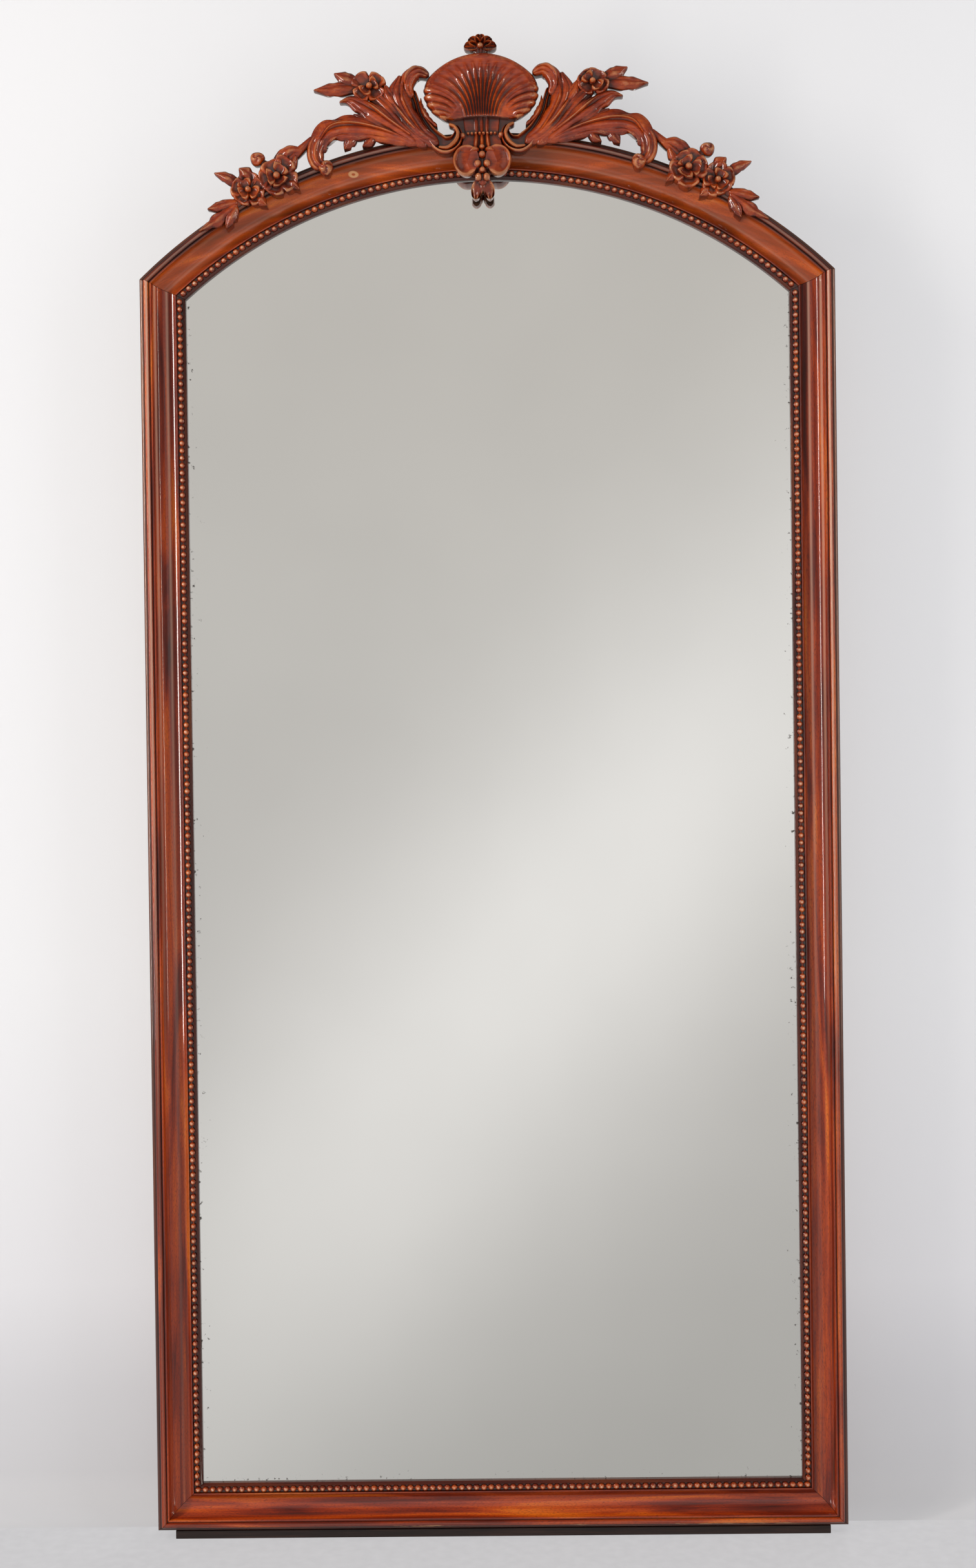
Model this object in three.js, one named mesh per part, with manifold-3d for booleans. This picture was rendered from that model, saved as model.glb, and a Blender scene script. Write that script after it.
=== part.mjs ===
// Pier mirror: a tall arched looking-glass in a moulded and beaded wooden frame, with a carved
// shell crest and garlands on its arch. Millimetres, +Z up, the glass faces -Y. The origin is the
// middle of the foot batten's underside.
//
// Two measures are used all through:
//   inset  runs in the plane of the glass, from the frame's outer edge towards the glass;
//   depth  runs forward from the frame's flat back.
// The carving has a pair of its own: along the arch's outer edge from the crest's centre line, and
// up from a base line that runs a little above that edge.

import * as THREE from 'three';
import { mergeVertices } from 'three/addons/utils/BufferGeometryUtils.js';
import Module from 'manifold-3d';

const wasm = await Module();
wasm.setup();

// ---------------------------------------------------------------- driving dimensions

const CLEARANCE = 0.3; // between pieces that are seated on each other

// outline of the frame
const FRAME_WIDTH = 990;
const SHOULDER_HEIGHT = 1792; // moulding's lower edge to the outer corner where the arch springs
const ARCH_RISE = 200.5;
const MEMBER_WIDTH = 64;
const ARCH_FACETS = 14; // straight facets in each half of the arch
const MITRE_GAP = 0.3;

// section of the moulding, outer edge first; a drop is measured back from the torus's crown
const FRAME_DEPTH = 47;
const SIDE_DROP = 14;
const OVOLO_WIDTH = 5;
const OVOLO_DROP = 9;
const STEP_WIDTH = 1.8;
const STEP_DROP = 8.5;
const TORUS_RADIUS = 3.7;
const QUIRK_WIDTH = 1.3;
const QUIRK_DROP = 5;
const FILLET_WIDTH = 2.5;
const FILLET_DROP = 3;
const COVE_DROP = 21;
const COVE_END_DROP = 17;
const INNER_FILLET_WIDTH = 2;
const INNER_FILLET_DROP = 16;
const CHANNEL_WIDTH = 9;
const CHANNEL_DROP = 21;
const LIP_WIDTH = 3.5;
const LIP_DROP = 18.5;
const SIGHT_DROP = 23;
const SIGHT_LAND = 4; // thickness of the sight edge in front of the glass

// rabbets behind the sight edge
const REBATE_WIDTH = 10;
const LEDGE_DEPTH = 8;
const LEDGE_WIDTH = 14;

// foot, glass and back
const FOOT_HEIGHT = 12;
const FOOT_DEPTH = 36;
const FOOT_INSET = 25.5;
const GLASS_THICKNESS = 5;
const GLASS_EDGE_GAP = 0.8;
const BOARD_THICKNESS = 7;
const BOARD_COUNT = 3;
const BOARD_JOINT = 0.8;
const BLOCK_LENGTH = 50;
const BLOCK_WIDTH = 8.5;

// pearls
const PEARL_PITCH = 10.6;
const PEARL_WIDTH = 8;
const PEARL_HEIGHT = 5.5;
const PEARL_NECK = 2.4; // width and height of the wood left between two pearls

// screws
const SCREW_SHANK = 4;
const SCREW_HEAD = 8;
const SCREW_HEAD_HEIGHT = 2.4;
const SCREW_LENGTH = 20;
const SCREW_SIDES = 6;
const SLOT_WIDTH = 1.2;
const SLOT_DEPTH = 1.2;

// crest
const CREST_OFFSET = -4; // the carving sits a little left of the frame's middle
const CREST_RISE = 6; // the arch's outer edge up to the carving's base line
const CARVING_UNIT = 1; // size of one unit in the lists of the drawn leaves
const CREST_LAP = 9; // how far the carving hooks back over the arch's edge
const SHELL_BASE = 6; // hinge of the flutes, above the base line
const SHELL_RADIUS = 93;
const SHELL_SIDE_RADIUS = 50;
const SHELL_FLUTES = 17;
const SHELL_HEIGHT = 17;
const NECK_LENGTH = 44;
const KNOB_SPREAD = 28;
const LOBE_RADIUS = 20;
const LOBE_SPREAD = 25;
const DROP_LENGTH = 29;
const FINIAL_STALK = 10;
const UNDER_FLOWER = 3.5; // height of a branch where a flower sits on it
const CREST_BLOCK_WIDTH = 52;
const CREST_BLOCK_DROP = 17; // shell's top down to the block's
const STRAP_WIDTH = 30;
const STRAP_THICKNESS = 2.4;
const STRAP_ABOVE = 62;
const STRAP_BELOW = 34;

// hangers
const HANGER_DROP = 384; // shoulder down to the pivot of the rings
const HANGER_INSET = 20;
const HANGER_WIDTH = 18;
const HANGER_LENGTH = 46;
const HANGER_THICKNESS = 1.5;
const EYE_PLAY = 0.6;
const EYE_WALL = 0.9;
const WIRE_RADIUS = 2;
const RING_RADIUS = 17;
const RING_DROP = 8; // pivot bar to the centre of the ring's round

// ---------------------------------------------------------------- values worked out from them

const HALF_WIDTH = FRAME_WIDTH / 2;
const BACK_Y = FOOT_DEPTH / 2;
const ARCH_RADIUS = (HALF_WIDTH ** 2 + ARCH_RISE ** 2) / (2 * ARCH_RISE);
const ARCH_CENTRE_Z = FOOT_HEIGHT + SHOULDER_HEIGHT + ARCH_RISE - ARCH_RADIUS;
const ARCH_TOP_Z = ARCH_CENTRE_Z + ARCH_RADIUS;
const TORUS_INSET = OVOLO_WIDTH + STEP_WIDTH + TORUS_RADIUS;
const QUIRK_INSET = TORUS_INSET + TORUS_RADIUS + QUIRK_WIDTH;
const COVE_INSET = QUIRK_INSET + FILLET_WIDTH;
const LIP_INSET = MEMBER_WIDTH - LIP_WIDTH;
const CHANNEL_INSET = LIP_INSET - CHANNEL_WIDTH;
const PEARL_INSET = LIP_INSET - CHANNEL_WIDTH / 2;
const COVE_END_INSET = CHANNEL_INSET - INNER_FILLET_WIDTH;
const REBATE_INSET = MEMBER_WIDTH - REBATE_WIDTH;
const LEDGE_INSET = REBATE_INSET - LEDGE_WIDTH;
const REBATE_DEPTH = FRAME_DEPTH - SIGHT_DROP - SIGHT_LAND;
const GLASS_FRONT = REBATE_DEPTH - CLEARANCE;
const GLASS_BACK = GLASS_FRONT - GLASS_THICKNESS;
const BOARD_FRONT = LEDGE_DEPTH - CLEARANCE;
const BOARD_BACK = BOARD_FRONT - BOARD_THICKNESS;
const CREST_SEAT = FRAME_DEPTH + CLEARANCE;
const CREST_BACK = FRAME_DEPTH - CREST_LAP;
const SHELL_TOP = SHELL_BASE + SHELL_RADIUS;
const NECK_FOOT = SHELL_BASE - NECK_LENGTH;
const LOBE_CENTRE = NECK_FOOT - LOBE_RADIUS + 1;
const HANGER_Z = FOOT_HEIGHT + SHOULDER_HEIGHT - HANGER_DROP;
const EYE_BORE = WIRE_RADIUS + EYE_PLAY;
const EYE_RADIUS = EYE_BORE + EYE_WALL;
const PIVOT_DEPTH = -CLEARANCE - EYE_RADIUS;

const atDepth = (depth) => BACK_Y - depth;
const halfWidthAt = (inset) => HALF_WIDTH - inset;
const footZ = (inset) => FOOT_HEIGHT + inset;
const arcRadiusAt = (inset) => ARCH_RADIUS - inset;
const shoulderAngle = (inset) => Math.asin(halfWidthAt(inset) / arcRadiusAt(inset));
const shoulderZ = (inset) => ARCH_CENTRE_Z + arcRadiusAt(inset) * Math.cos(shoulderAngle(inset));
const lerp = (a, b, t) => a + (b - a) * t;

/** Point of the arch at an angle from the vertical, at an inset and a depth. */
function onArc(inset, angle, depth) {
  const radius = arcRadiusAt(inset);
  return new THREE.Vector3(
    radius * Math.sin(angle), atDepth(depth), ARCH_CENTRE_Z + radius * Math.cos(angle));
}

/** Point of the carving: along the arch, up from the carving's base line, and a depth. */
function onCrest(along, up, depth) {
  return onArc(-up - CREST_RISE, (along + CREST_OFFSET) / ARCH_RADIUS, depth);
}

// ---------------------------------------------------------------- materials

const finish = (color, roughness, metalness = 0) =>
  new THREE.MeshStandardMaterial({ color, roughness, metalness });
const POLISHED_MAHOGANY = finish(0x94441c, 0.32);
const CARVED_MAHOGANY = finish(0x6b3020, 0.38);
const BEAD_MAHOGANY = finish(0x7a4028, 0.4);
const DARK_OAK = finish(0x2c1c18, 0.6);
const PINE = finish(0xb58c58, 0.8);
const SILVERED_GLASS = finish(0xbcbab4, 0.05, 1);
const STEEL = finish(0x8d8b86, 0.4, 0.9);
const BRASS = finish(0xb08d4a, 0.35, 0.9);

// ---------------------------------------------------------------- solids

/** Indexed triangles as a solid, turned so that its faces point out. */
function solidFrom(points, triangles) {
  let volume = 0;
  for (const [a, b, c] of triangles) {
    volume += points[a].dot(new THREE.Vector3().crossVectors(points[b], points[c]));
  }
  const outward = volume > 0 ? triangles : triangles.map(([a, b, c]) => [a, c, b]);
  return new wasm.Manifold(new wasm.Mesh({
    numProp: 3,
    vertProperties: new Float32Array(points.flatMap((p) => p.toArray())),
    triVerts: new Uint32Array(outward.flat()),
  }));
}

/** A closed three.js geometry as a solid. */
function solidOf(geometry) {
  geometry.deleteAttribute('normal');
  geometry.deleteAttribute('uv');
  const merged = mergeVertices(geometry, 1e-4);
  return new wasm.Manifold(new wasm.Mesh({
    numProp: 3,
    vertProperties: new Float32Array(merged.attributes.position.array),
    triVerts: new Uint32Array(merged.index.array),
  }));
}

/** Skin over rings of equal count; the ends are closed with the triangles of one flat outline. */
function loft(rings, outline) {
  const count = outline.length;
  const points = rings.flat();
  const triangles = [];
  for (let ring = 0; ring + 1 < rings.length; ring += 1) {
    for (let i = 0; i < count; i += 1) {
      const a = ring * count + i;
      const b = ring * count + ((i + 1) % count);
      triangles.push([a, b, b + count], [a, b + count, a + count]);
    }
  }
  const last = (rings.length - 1) * count;
  const contour = outline.map(([x, y]) => new THREE.Vector2(x, y));
  const { area, triangulateShape } = THREE.ShapeUtils;
  for (const face of triangulateShape(contour, [])) {
    const follows = area(face.map((i) => contour[i])) * area(contour) > 0;
    const [a, b, c] = follows ? face : face.toReversed();
    triangles.push([a, c, b], [a + last, b + last, c + last]);
  }
  return solidFrom(points, triangles);
}

/** Flat plate: an outline of [x, z] points between two depths. */
function plate(outline, backDepth, frontDepth) {
  const shape = new THREE.Shape(outline.map(([x, z]) => new THREE.Vector2(x, z)));
  const geometry = new THREE.ExtrudeGeometry(
    shape, { depth: frontDepth - backDepth, bevelEnabled: false });
  geometry.rotateX(Math.PI / 2);
  geometry.translate(0, atDepth(backDepth), 0);
  return solidOf(geometry);
}

function box(x0, x1, z0, z1, backDepth, frontDepth) {
  return plate([[x0, z0], [x1, z0], [x1, z1], [x0, z1]], backDepth, frontDepth);
}

const unite = (solids) => solids.reduce((whole, next) => whole.add(next));

/** The largest body of a cut solid, without the slivers beside it. */
function largestBody(solid) {
  const bodies = solid.decompose();
  return bodies.reduce((best, next) => (next.volume() > best.volume() ? next : best));
}

const mirror = new THREE.Group();
mirror.name = 'pier_mirror';

function add(name, solid, material) {
  const { vertProperties, triVerts, numProp } = solid.getMesh();
  const geometry = new THREE.BufferGeometry();
  const positions = new Float32Array((vertProperties.length / numProp) * 3);
  for (let i = 0; i < positions.length / 3; i += 1) {
    positions.set(vertProperties.slice(i * numProp, i * numProp + 3), i * 3);
  }
  geometry.setAttribute('position', new THREE.BufferAttribute(positions, 3));
  geometry.setIndex(new THREE.BufferAttribute(new Uint32Array(triVerts), 1));
  const mesh = new THREE.Mesh(geometry, material);
  mesh.name = name;
  mirror.add(mesh);
}

// ---------------------------------------------------------------- moulding

/** Round stretch of the section as [inset, depth] points, both ends included. */
function arc(inset, depth, radius, from, to, steps) {
  return Array.from({ length: steps + 1 }, (_, i) => {
    const angle = lerp(from, to, i / steps);
    return [inset + radius * Math.cos(angle), depth + radius * Math.sin(angle)];
  });
}

/** Section of every frame member as [inset, depth] points, clockwise from the outer back edge. */
function mouldingSection() {
  const crown = (drop) => FRAME_DEPTH - drop;
  const ovolo = (turn) => [
    OVOLO_WIDTH * (1 - Math.cos(turn)), lerp(crown(SIDE_DROP), crown(OVOLO_DROP), Math.sin(turn))];
  const cove = new THREE.CubicBezierCurve(
    new THREE.Vector2(COVE_INSET, crown(FILLET_DROP + 0.5)),
    new THREE.Vector2(COVE_INSET + 2, crown(COVE_DROP)),
    new THREE.Vector2(lerp(COVE_INSET, COVE_END_INSET, 0.57), crown(COVE_DROP + 4.5)),
    new THREE.Vector2(COVE_END_INSET, crown(COVE_END_DROP)));
  return [
    [0, 0],
    ovolo(0),
    ovolo(Math.PI / 6),
    ovolo(Math.PI / 3),
    ovolo(Math.PI / 2),
    [OVOLO_WIDTH, crown(STEP_DROP)],
    [TORUS_INSET - TORUS_RADIUS, crown(STEP_DROP)],
    ...arc(TORUS_INSET, crown(TORUS_RADIUS), TORUS_RADIUS, Math.PI, 0, 4),
    [TORUS_INSET + TORUS_RADIUS, crown(QUIRK_DROP)],
    [QUIRK_INSET, crown(QUIRK_DROP)],
    [QUIRK_INSET, crown(FILLET_DROP)],
    [COVE_INSET, crown(FILLET_DROP)],
    ...cove.getPoints(6).map((p) => [p.x, p.y]),
    [COVE_END_INSET, crown(INNER_FILLET_DROP)],
    [CHANNEL_INSET, crown(INNER_FILLET_DROP)],
    [CHANNEL_INSET, crown(CHANNEL_DROP)],
    [LIP_INSET, crown(CHANNEL_DROP)],
    [LIP_INSET, crown(LIP_DROP)],
    [MEMBER_WIDTH, crown(SIGHT_DROP)],
    [MEMBER_WIDTH, REBATE_DEPTH],
    [REBATE_INSET, REBATE_DEPTH],
    [REBATE_INSET, LEDGE_DEPTH],
    [LEDGE_INSET, LEDGE_DEPTH],
    [LEDGE_INSET, 0],
  ];
}

const SECTION = mouldingSection();

/** Stile on one side (-1 left, 1 right), mitred at the foot and at the shoulder. */
function stile(side) {
  const ring = (zAt) => SECTION.map(([inset, depth]) =>
    new THREE.Vector3(side * halfWidthAt(inset), atDepth(depth), zAt(inset)));
  return loft([
    ring((inset) => footZ(inset) + MITRE_GAP),
    ring((inset) => shoulderZ(inset) - MITRE_GAP)], SECTION);
}

function bottomRail() {
  const ring = (side) => SECTION.map(([inset, depth]) =>
    new THREE.Vector3(side * (halfWidthAt(inset) - MITRE_GAP), atDepth(depth), footZ(inset)));
  return loft([ring(-1), ring(1)], SECTION);
}

/** Half of the arch, from the shoulder to the joint under the crest. */
function archHalf(side) {
  const rings = [];
  for (let i = 0; i <= ARCH_FACETS; i += 1) {
    rings.push(SECTION.map(([inset, depth]) => {
      const radius = arcRadiusAt(inset);
      const shoulder = shoulderAngle(inset) - MITRE_GAP / radius;
      const crown = MITRE_GAP / 2 / radius;
      return onArc(inset, side * lerp(shoulder, crown, i / ARCH_FACETS), depth);
    }));
  }
  return loft(rings, SECTION);
}

/** Closed outline of the frame at an inset, with the arch in the members' own facets. */
function frameOutline(inset) {
  const outline = [[-halfWidthAt(inset), footZ(inset)], [halfWidthAt(inset), footZ(inset)]];
  for (let i = 0; i <= 2 * ARCH_FACETS; i += 1) {
    const point = onArc(inset, lerp(1, -1, i / (2 * ARCH_FACETS)) * shoulderAngle(inset), 0);
    outline.push([point.x, point.z]);
  }
  return outline;
}

// ---------------------------------------------------------------- pearls

/** A course of pearls in its channel; place(t, out) is the point at t, moved towards the edge. */
function pearlCourse(length, place) {
  const count = Math.round(length / PEARL_PITCH);
  const base = FRAME_DEPTH - CHANNEL_DROP + CLEARANCE;
  const rings = [];
  for (let i = 0; i <= 2 * count; i += 1) {
    const pearl = i % 2 === 1;
    const half = (pearl ? PEARL_WIDTH : PEARL_NECK) / 2;
    const height = pearl ? PEARL_HEIGHT : PEARL_NECK;
    const section = [[-half, base], [half, base], [0, base + height]];
    rings.push(section.map(([out, depth]) => place(i / (2 * count), out, depth)));
  }
  return loft(rings, [[-1, 0], [1, 0], [0, 1]]);
}

function addPearls() {
  const corner = PEARL_WIDTH / 2 + CLEARANCE;
  const low = footZ(PEARL_INSET) + corner;
  const high = shoulderZ(PEARL_INSET) - corner / 2;
  const wide = halfWidthAt(PEARL_INSET) + PEARL_WIDTH / 2;
  add('pearls_bottom', pearlCourse(2 * wide, (t, out, depth) => new THREE.Vector3(
    lerp(-wide, wide, t), atDepth(depth), footZ(PEARL_INSET) - out)), BEAD_MAHOGANY);
  for (const [side, word] of [[-1, 'left'], [1, 'right']]) {
    add(`pearls_${word}`, pearlCourse(high - low, (t, out, depth) => new THREE.Vector3(
      side * (halfWidthAt(PEARL_INSET) + out), atDepth(depth), lerp(low, high, t))), BEAD_MAHOGANY);
    const radius = arcRadiusAt(PEARL_INSET);
    const from = shoulderAngle(PEARL_INSET) - corner / 2 / radius;
    const to = MITRE_GAP / 2 / radius;
    add(`pearls_arch_${word}`, pearlCourse((from - to) * radius, (t, out, depth) =>
      onArc(PEARL_INSET - out, side * lerp(from, to, t), depth)), BEAD_MAHOGANY);
  }
}

// ---------------------------------------------------------------- screws

/** Slotted countersunk screw, its head's face at a depth behind which it is driven forward. */
function screw(x, z, headDepth, length, grow = 0) {
  const head = SCREW_HEAD / 2 + grow;
  const shank = SCREW_SHANK / 2 + grow;
  const back = grow > 0 ? -1 : 0; // the hole's cutter runs out past the face
  const profile = [
    [0, back], [head, back], [head, 0], [shank, SCREW_HEAD_HEIGHT], [shank, length + grow],
    [0, length + grow]].filter(([, y], i) => !(back === 0 && i === 2));
  const geometry = new THREE.LatheGeometry(
    profile.map(([r, y]) => new THREE.Vector2(r, y)), SCREW_SIDES);
  geometry.rotateX(Math.PI);
  geometry.translate(x, atDepth(headDepth), z);
  const body = solidOf(geometry);
  if (grow > 0) return body;
  const half = SCREW_HEAD;
  return body.subtract(box(
    x - half, x + half, z - SLOT_WIDTH / 2, z + SLOT_WIDTH / 2, headDepth - 1, headDepth + SLOT_DEPTH));
}

// ---------------------------------------------------------------- carving

/** Value along a list of evenly spaced ones. */
function along(list, t) {
  const place = t * (list.length - 1);
  const i = Math.min(Math.floor(place), list.length - 2);
  return lerp(list[i], list[i + 1], place - i);
}

/**
 * A carved leaf or scroll: a ridge on a flat back, along a spine of [along, up] points, with half
 * widths and heights at even stations. Lobes notch its edges. Grown, it is the cutter that clears
 * a neighbour out of its way.
 */
function leaf(side, spine, widths, heights, grow = 0, lobes = 0) {
  const curve = new THREE.CatmullRomCurve3(spine.map(([s, up]) => onCrest(side * s, up, 0)));
  const steps = lobes > 0 ? 2 * lobes : 2 * (spine.length - 1);
  const rings = [];
  for (let i = 0; i <= steps; i += 1) {
    const t = i / steps;
    const tangent = curve.getTangentAt(t);
    const across = new THREE.Vector3(-tangent.z, 0, tangent.x);
    const end = i === 0 ? -grow : i === steps ? grow : 0;
    const centre = curve.getPointAt(t).addScaledVector(tangent, end);
    const notch = lobes > 0 && i % 2 === 0 && i > 0 ? 0.76 : 1;
    const half = along(widths, t) * notch + grow;
    const height = CREST_SEAT + along(heights, t) + grow;
    const edge = lerp(CREST_SEAT, height, 0.45);
    const section = [
      [half, CREST_BACK - grow], [half, edge], [0, height], [-half, edge], [-half, CREST_BACK - grow]];
    rings.push(section.map(([out, depth]) => {
      const point = centre.clone().addScaledVector(across, out);
      point.y = atDepth(depth);
      return point;
    }));
  }
  return loft(rings, [[1, 0], [1, 0.5], [0, 1], [-1, 0.5], [-1, 0]]);
}

/** A leaf whose lists are in the drawing's units. */
const drawn = (side, spine, widths, heights, grow, lobes) => leaf(side,
  spine.map((point) => point.map((value) => value * CARVING_UNIT)),
  widths.map((width) => width * CARVING_UNIT),
  heights.map((height) => height * CARVING_UNIT), grow, lobes);

const LOW = UNDER_FLOWER / CARVING_UNIT; // height of a drawn branch where a flower sits on it

/**
 * A carved boss round a point of the carving: radiusAt(angle) is its outline, reliefAt(share,
 * angle) its height above the seat at a share of that radius.
 */
function boss(side, s, up, angles, shares, radiusAt, reliefAt, grow = 0, backDepth = CREST_BACK) {
  const centre = onCrest(side * s, up, 0);
  const point = (radius, angle, depth) => new THREE.Vector3(
    centre.x + side * radius * Math.sin(angle), atDepth(depth), centre.z + radius * Math.cos(angle));
  const back = backDepth - grow;
  const points = [
    point(0, 0, CREST_SEAT + reliefAt(0, 0) + grow),
    point(0, 0, back)];
  const count = angles.length;
  for (const share of shares) {
    for (const angle of angles) {
      const radius = (radiusAt(angle) + grow) * share;
      points.push(point(radius, angle, CREST_SEAT + reliefAt(share, angle) + grow));
    }
  }
  for (const angle of angles) points.push(point(radiusAt(angle) + grow, angle, back));
  const triangles = [];
  for (let i = 0; i < count; i += 1) {
    const next = (i + 1) % count;
    triangles.push([0, 2 + i, 2 + next]);
    for (let ring = 0; ring < shares.length; ring += 1) {
      const a = 2 + ring * count;
      const b = a + count;
      triangles.push([a + i, b + i, b + next], [a + i, b + next, a + next]);
    }
    const rim = 2 + shares.length * count;
    triangles.push([1, rim + next, rim + i]);
  }
  return solidFrom(points, triangles);
}

const circle = (count) => Array.from({ length: count }, (_, i) => (2 * Math.PI * i) / count);

/** Flower of round petals about a button. */
function flower(side, s, up, radius, petals, height, grow = 0, turn = 0) {
  const petal = (angle) => Math.abs(Math.cos((petals * (angle - turn)) / 2));
  return boss(side, s, up, circle(petals * 4), [0.28, 0.42, 0.8, 1],
    (angle) => radius * (0.78 + 0.22 * petal(angle)),
    (share, angle) => {
      if (share < 0.3) return height;
      if (share < 0.5) return height * 0.45;
      return height * (share < 0.9 ? 0.5 + 0.3 * petal(angle) : 0.35);
    }, grow, CREST_SEAT + UNDER_FLOWER + CLEARANCE);
}

/** Round bud. */
const bud = (side, s, up, radius, height, grow = 0) => boss(side, s, up, circle(8), [0.55, 1],
  () => radius, (share) => (share < 0.9 ? height : height * 0.35), grow);

/** The fluted shell: straight ribs out to a smooth rim that rolls back. */
function shell(grow = 0) {
  const spread = Math.PI / 2;
  const shoulder = (42 * Math.PI) / 180;
  const angles = Array.from({ length: 2 * SHELL_FLUTES + 1 }, (_, i) =>
    lerp(-spread, spread, i / (2 * SHELL_FLUTES)));
  angles.push(spread * 1.2, Math.PI, 2 * Math.PI - spread * 1.2);
  const radiusAt = (angle) => {
    const turn = Math.abs(angle > Math.PI ? angle - 2 * Math.PI : angle);
    if (turn > spread * 1.01) return 7;
    const t = Math.max(0, turn - shoulder) / (spread - shoulder);
    return lerp(SHELL_RADIUS, SHELL_SIDE_RADIUS, t ** 2);
  };
  const ribAt = (angle) => {
    const place = ((angle + spread) / (2 * spread)) * SHELL_FLUTES;
    return Math.abs(Math.sin(Math.PI * place));
  };
  const reliefAt = (share, angle) => {
    if (share > 0.95) return 2;
    if (share > 0.8) return SHELL_HEIGHT * 0.9;
    const rib = share === 0 ? 0 : 5 * ribAt(angle);
    return lerp(7, SHELL_HEIGHT - 2, share) + rib;
  };
  return boss(1, 0, SHELL_BASE, angles, [0.25, 0.7, 0.86, 1], radiusAt, reliefAt, grow);
}

/** Small flower on a stalk that tops the shell. */
function finial(grow = 0) {
  const heart = SHELL_TOP + FINIAL_STALK;
  const petals = [-80, -40, 0, 40, 80].map((degrees) => {
    const angle = (degrees * Math.PI) / 180;
    const reach = degrees === 0 ? 15 : 18;
    const out = (share) => [
      share * reach * Math.sin(angle), heart - 1 + share * reach * Math.cos(angle)];
    return leaf(1, [out(0), out(0.6), out(1)], [3, 6, 3], [8, 10, 4], grow);
  });
  return unite([
    leaf(1, [[0, SHELL_TOP - 5], [0, heart + 1]], [12, 8], [8, 8], grow),
    ...petals,
    bud(1, 0, heart, 5, 12, grow)]);
}

/** Fluted neck between shell and pendant, with a knob on each side. */
function neck(grow = 0) {
  const middle = (SHELL_BASE + NECK_FOOT) / 2;
  const flutes = [-10, 0, 10].map((s) =>
    leaf(1, [[s, SHELL_BASE], [s * 0.9, NECK_FOOT + 4]], [3.5, 3.5], [8, 9], grow));
  return unite([
    leaf(1, [[0, SHELL_BASE], [0, middle], [0, NECK_FOOT]], [32, 24, 34], [5, 6, 7], grow),
    ...flutes,
    ...[-1, 1].map((side) => bud(side, KNOB_SPREAD, middle - 4, 5, 9, grow))]);
}

/** Pendant: two dished lobes, a string of berries and two drop petals. */
function pendant(grow = 0) {
  const low = LOBE_CENTRE - LOBE_RADIUS - 1;
  const lobe = (side) => boss(side, LOBE_SPREAD, LOBE_CENTRE, circle(16), [0.55, 0.8, 1],
    (angle) => LOBE_RADIUS * (1 + 0.2 * Math.cos(angle)),
    (share) => (share < 0.7 ? 4 : share < 0.9 ? 11 : 5), grow);
  const drop = (side) => leaf(side,
    [[3, low], [9, low - DROP_LENGTH / 2], [13, low - DROP_LENGTH]], [7, 8, 4], [9, 11, 5], grow);
  return unite([
    ...[-1, 1].flatMap((side) => [lobe(side), drop(side)]),
    leaf(1, [[0, NECK_FOOT + 4], [0, LOBE_CENTRE], [0, low - 8]], [8, 9, 8], [7, 8, 7], grow),
    bud(1, 0, LOBE_CENTRE + 14, 5, 13, grow),
    bud(1, 0, LOBE_CENTRE, 7, 15, grow),
    bud(1, 0, LOBE_CENTRE - 17, 6, 13, grow)]);
}

/** C-scroll that holds the shell: from its volute, round the open crescent, to the curled top. */
const scroll = (side, grow = 0) => unite([
  drawn(side, [[38, -10], [35, -20], [44, -28], [58, -23], [71, -9], [80, 7], [86, 23], [88, 40],
    [91, 56]], [5, 8, 12, 12, 9, 6, 6], [10, 13, 12, 11, 10, 9, 9], grow, 7),
  drawn(side, [[90, 46], [98, 62], [91, 75], [78, 77], [66, 69]], [5, 7, 5], [9, 11, 7], grow)]);

/** Acanthus wing: the tall blade, the sprig with its leaves, and the middle leaf. */
const wing = (side, grow = 0) => unite([
  drawn(side, [[62, -26], [88, -4], [102, 26], [106, 52], [99, 74]], [9, 14, 16, 13, 6],
    [9, 12, 13, 12, 7], grow, 5),
  drawn(side, [[80, -26], [108, 6], [127, 40], [149, 74]], [9, 12, 10, 7], [8, 11, 11, LOW], grow),
  drawn(side, [[110, 30], [121, 50], [123, 68]], [6, 10, 4], [7, 11, 6], grow),
  drawn(side, [[92, -22], [122, 8], [150, 36], [171, 64]], [10, 16, 16, 6], [8, 12, 12, 6], grow, 5),
  drawn(side, [[150, 76], [168, 86], [182, 102]], [7, 9, 2.5], [LOW, 9, 5], grow),
  drawn(side, [[150, 74], [182, 80], [211, 88]], [6, 11, 3], [LOW, 9, 5], grow)]);

/** Long lower leaf that bends down to a curl on the moulding. */
const longLeaf = (side, grow = 0) => unite([
  drawn(side, [[100, -18], [140, 4], [178, 20], [208, 24], [229, 10]], [9, 13, 19, 18, 10],
    [8, 12, 12, 12, 10], grow, 6),
  drawn(side, [[222, 24], [237, 6], [241, -14], [231, -26]], [9, 8, 7, 6], [9, 11, 12, 10], grow),
  bud(side, 231, -19, 9, 14, grow)]);

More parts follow.
